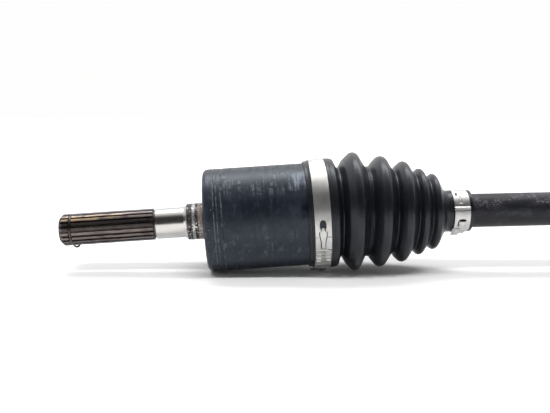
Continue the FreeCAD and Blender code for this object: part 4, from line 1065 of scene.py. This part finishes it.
# mm from the joint centre and of radius; cuts say where a piece of the boot ends,
# and name the two bodies that the next piece lies between
INBOARD = SimpleNamespace(
    side="inboard", shell="inboard_cup", spine=inboard_spine, origin=IB,
    shell_axis=CUP_AXIS, bar_axis=BAR_AXIS, lug_radius=35.6, dust_at=40.5, seed=0.0,
    boot=dict(shell=32.9, lip=7.2, lip_radius=33.9, cuff=34.45, clamp=10.5, bead=35.15, cuff_end=24.2),
    folds=IB_BELLOWS,
    cuts=[
        (29.0, "inboard_cup", "inboard_boot"),
        (48.8, "inboard_boot", "inboard_opposite_ball"),
        (58.0, "inboard_opposite_ball", "inboard_cage"),
        (68.0, "inboard_cage", "inboard_first_ball"),
        (82.0, "inboard_first_ball", "axle_bar"),
        (97.2, None, None),
    ],
)
OUTBOARD = SimpleNamespace(
    side="outboard", shell="outboard_bell", spine=outboard_spine, origin=OB,
    shell_axis=-BAR_AXIS, bar_axis=-BAR_AXIS, lug_radius=43.3, dust_at=33.5, seed=7.0,
    boot=dict(shell=40.5, lip=-1.0, lip_radius=41.6, cuff=42.1, clamp=2.5, bead=42.8, cuff_end=16.5),
    folds=OB_BELLOWS,
    cuts=[
        (22.0, "outboard_bell", "outboard_opposite_ball"),
        (41.5, "outboard_opposite_ball", "outboard_cage"),
        (60.0, "outboard_cage", "outboard_first_ball"),
        (78.5, "outboard_first_ball", "axle_bar"),
        (97.2, None, None),
    ],
)
BLEND_MARGIN = 0.6  # how far in from a piece's ends its tilted end rings are found; the points are not used


def rig_boot(end, pieces):
    """Cuff on the shell and collar on the bar; each fold is baked where it was built."""
    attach(pieces[0], end.shell)
    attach(pieces[-1], "axle_bar")
    for piece, (low, body_a, body_b), (high, *_) in zip(pieces[1:-1], end.cuts, end.cuts[1:]):
        first, _ = end.spine(low + BLEND_MARGIN)
        last, _ = end.spine(high - BLEND_MARGIN)
        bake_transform(piece)


ends = (INBOARD, OUTBOARD)
for end in ends:
    rubber = rubber_material(f"{end.side}_rubber", end.origin, end.bar_axis, end.dust_at)
    rig_boot(end, make_boot(end, rubber))
    end.steel = clamp_material(f"{end.side}_clamp_steel", end.origin, end.shell_axis, end.lug_radius)
for end in ends:
    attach(large_clamp(end, end.steel), end.shell)
for end in ends:
    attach(small_clamp(end, end.steel), "axle_bar")
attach(stub_clip(wire_steel), "inboard_cup")

# --- stage
FLOOR_TILT = 0.02475  # the floor falls this much to +X, because the ends differ in size
FLOOR_AT = Vector((-0.160, 0, -0.0375))
FLOOR_HALF = 4.0


def floor_material():
    """Matt near-white paper that glows a little far off, so that it meets the backdrop."""
    m = Surface("floor_finish", Specular_IOR_Level=0.15)
    body = m.in_mm()
    tone = m.noise(body, 0.004, 3, 0.5)
    m.feed(m.shader.inputs["Base Color"], m.mix(tone, (0.86, 0.86, 0.865), (0.90, 0.90, 0.90)))
    m.feed(m.shader.inputs["Roughness"], m.plus(0.7, m.times(tone, 0.2)))
    away = m.between(m.vector("LENGTH", body), 260, 900)
    m.feed(m.shader.inputs["Emission Color"], (1.0, 1.0, 1.0))
    m.feed(m.shader.inputs["Emission Strength"], m.times(away, 0.75))
    return m.material


down_slope = Vector((1, 0, -FLOOR_TILT)).normalized() * FLOOR_HALF
sideways = Vector((0, FLOOR_HALF, 0))
corners = [FLOOR_AT + down_slope * a + sideways * b for a, b in ((-1, -1), (1, -1), (1, 1), (-1, 1))]
floor = new_object("floor", corners, [(0, 1, 2, 3)], smooth=False)
floor.data.materials.append(floor_material())

# --- camera
YAW = math.radians(1.94)
ELEVATION = math.radians(8.0)
ROLL_SLOPE = 0.01845  # how far the camera leans, as a slope
DISTANCE = 0.4875
AIM = Vector((-0.1873, 0, 0))
AIM_RAISED = 0.0056

level = math.cos(ELEVATION)
look = Vector((math.sin(YAW) * level, math.cos(YAW) * level, -math.sin(ELEVATION)))
right = look.cross(Vector((ROLL_SLOPE, 0, 1))).normalized()
up = right.cross(look).normalized()
camera_data = bpy.data.cameras.new("camera")
camera_data.sensor_width = 36.0
camera_data.lens = 49.35
camera_data.clip_start = 0.01
camera_data.clip_end = 30.0
camera = bpy.data.objects.new("camera", camera_data)
bpy.context.scene.collection.objects.link(camera)
turn = Matrix((right, up, -look)).transposed()
camera.matrix_world = Matrix.Translation(AIM + up * AIM_RAISED - look * DISTANCE) @ turn.to_4x4()
bpy.context.scene.camera = camera

# --- lights
LIGHTS_AIM = Vector((-0.10, 0, 0))


def area_light(name, where, size_x, size_y, power):
    data = bpy.data.lights.new(name, "AREA")
    data.shape = "RECTANGLE"
    data.size, data.size_y = size_x, size_y
    data.energy = power
    made = bpy.data.objects.new(name, data)
    bpy.context.scene.collection.objects.link(made)
    made.location = where
    made.rotation_euler = (LIGHTS_AIM - Vector(where)).to_track_quat("-Z", "Y").to_euler()
    return made


# the fill sharpens the shadow's front edge, and isn't seen in shiny things
area_light("overhead", (-0.05, 0.34, 1.0), 1.4, 0.36, 10.0)
fill = area_light("fill", (-0.10, -0.55, 1.0), 1.4, 0.14, 12.0)
fill.visible_glossy = False

world = bpy.data.worlds.new("studio")
bpy.context.scene.world = world
world.use_nodes = True
sky = Nodes(world.node_tree)
ray = sky.node("ShaderNodeLightPath").outputs
parts = sky.node("ShaderNodeSeparateXYZ")
sky.feed(parts.inputs[0], sky.node("ShaderNodeTexCoord").outputs["Generated"])
raised = sky.maths("MULTIPLY_ADD", parts.outputs["Z"], 0.7, parts.outputs["Y"])


def background(strength, colour=(1, 1, 1)):
    made = sky.node("ShaderNodeBackground")
    sky.feed(made.inputs["Color"], colour)
    sky.feed(made.inputs["Strength"], strength)
    return made.outputs[0]


def either(choice, when_not, when):
    made = sky.node("ShaderNodeMixShader")
    for socket, value in zip(made.inputs, (ray[choice], when_not, when)):
        sky.feed(socket, value)
    return made.outputs[0]


# even light on matt things, a dark room in front of shiny ones, a pale backdrop
room = background(sky.between(raised, 0.0, 0.75, 0.035, 1.22))
lit = either("Is Glossy Ray", background(0.42), room)
world_out = sky.node("ShaderNodeOutputWorld")
sky.feed(world_out.inputs[0], either("Is Camera Ray", lit, background(1.0, (0.99, 0.99, 0.988))))
bpy.context.scene.view_settings.view_transform = "Standard"
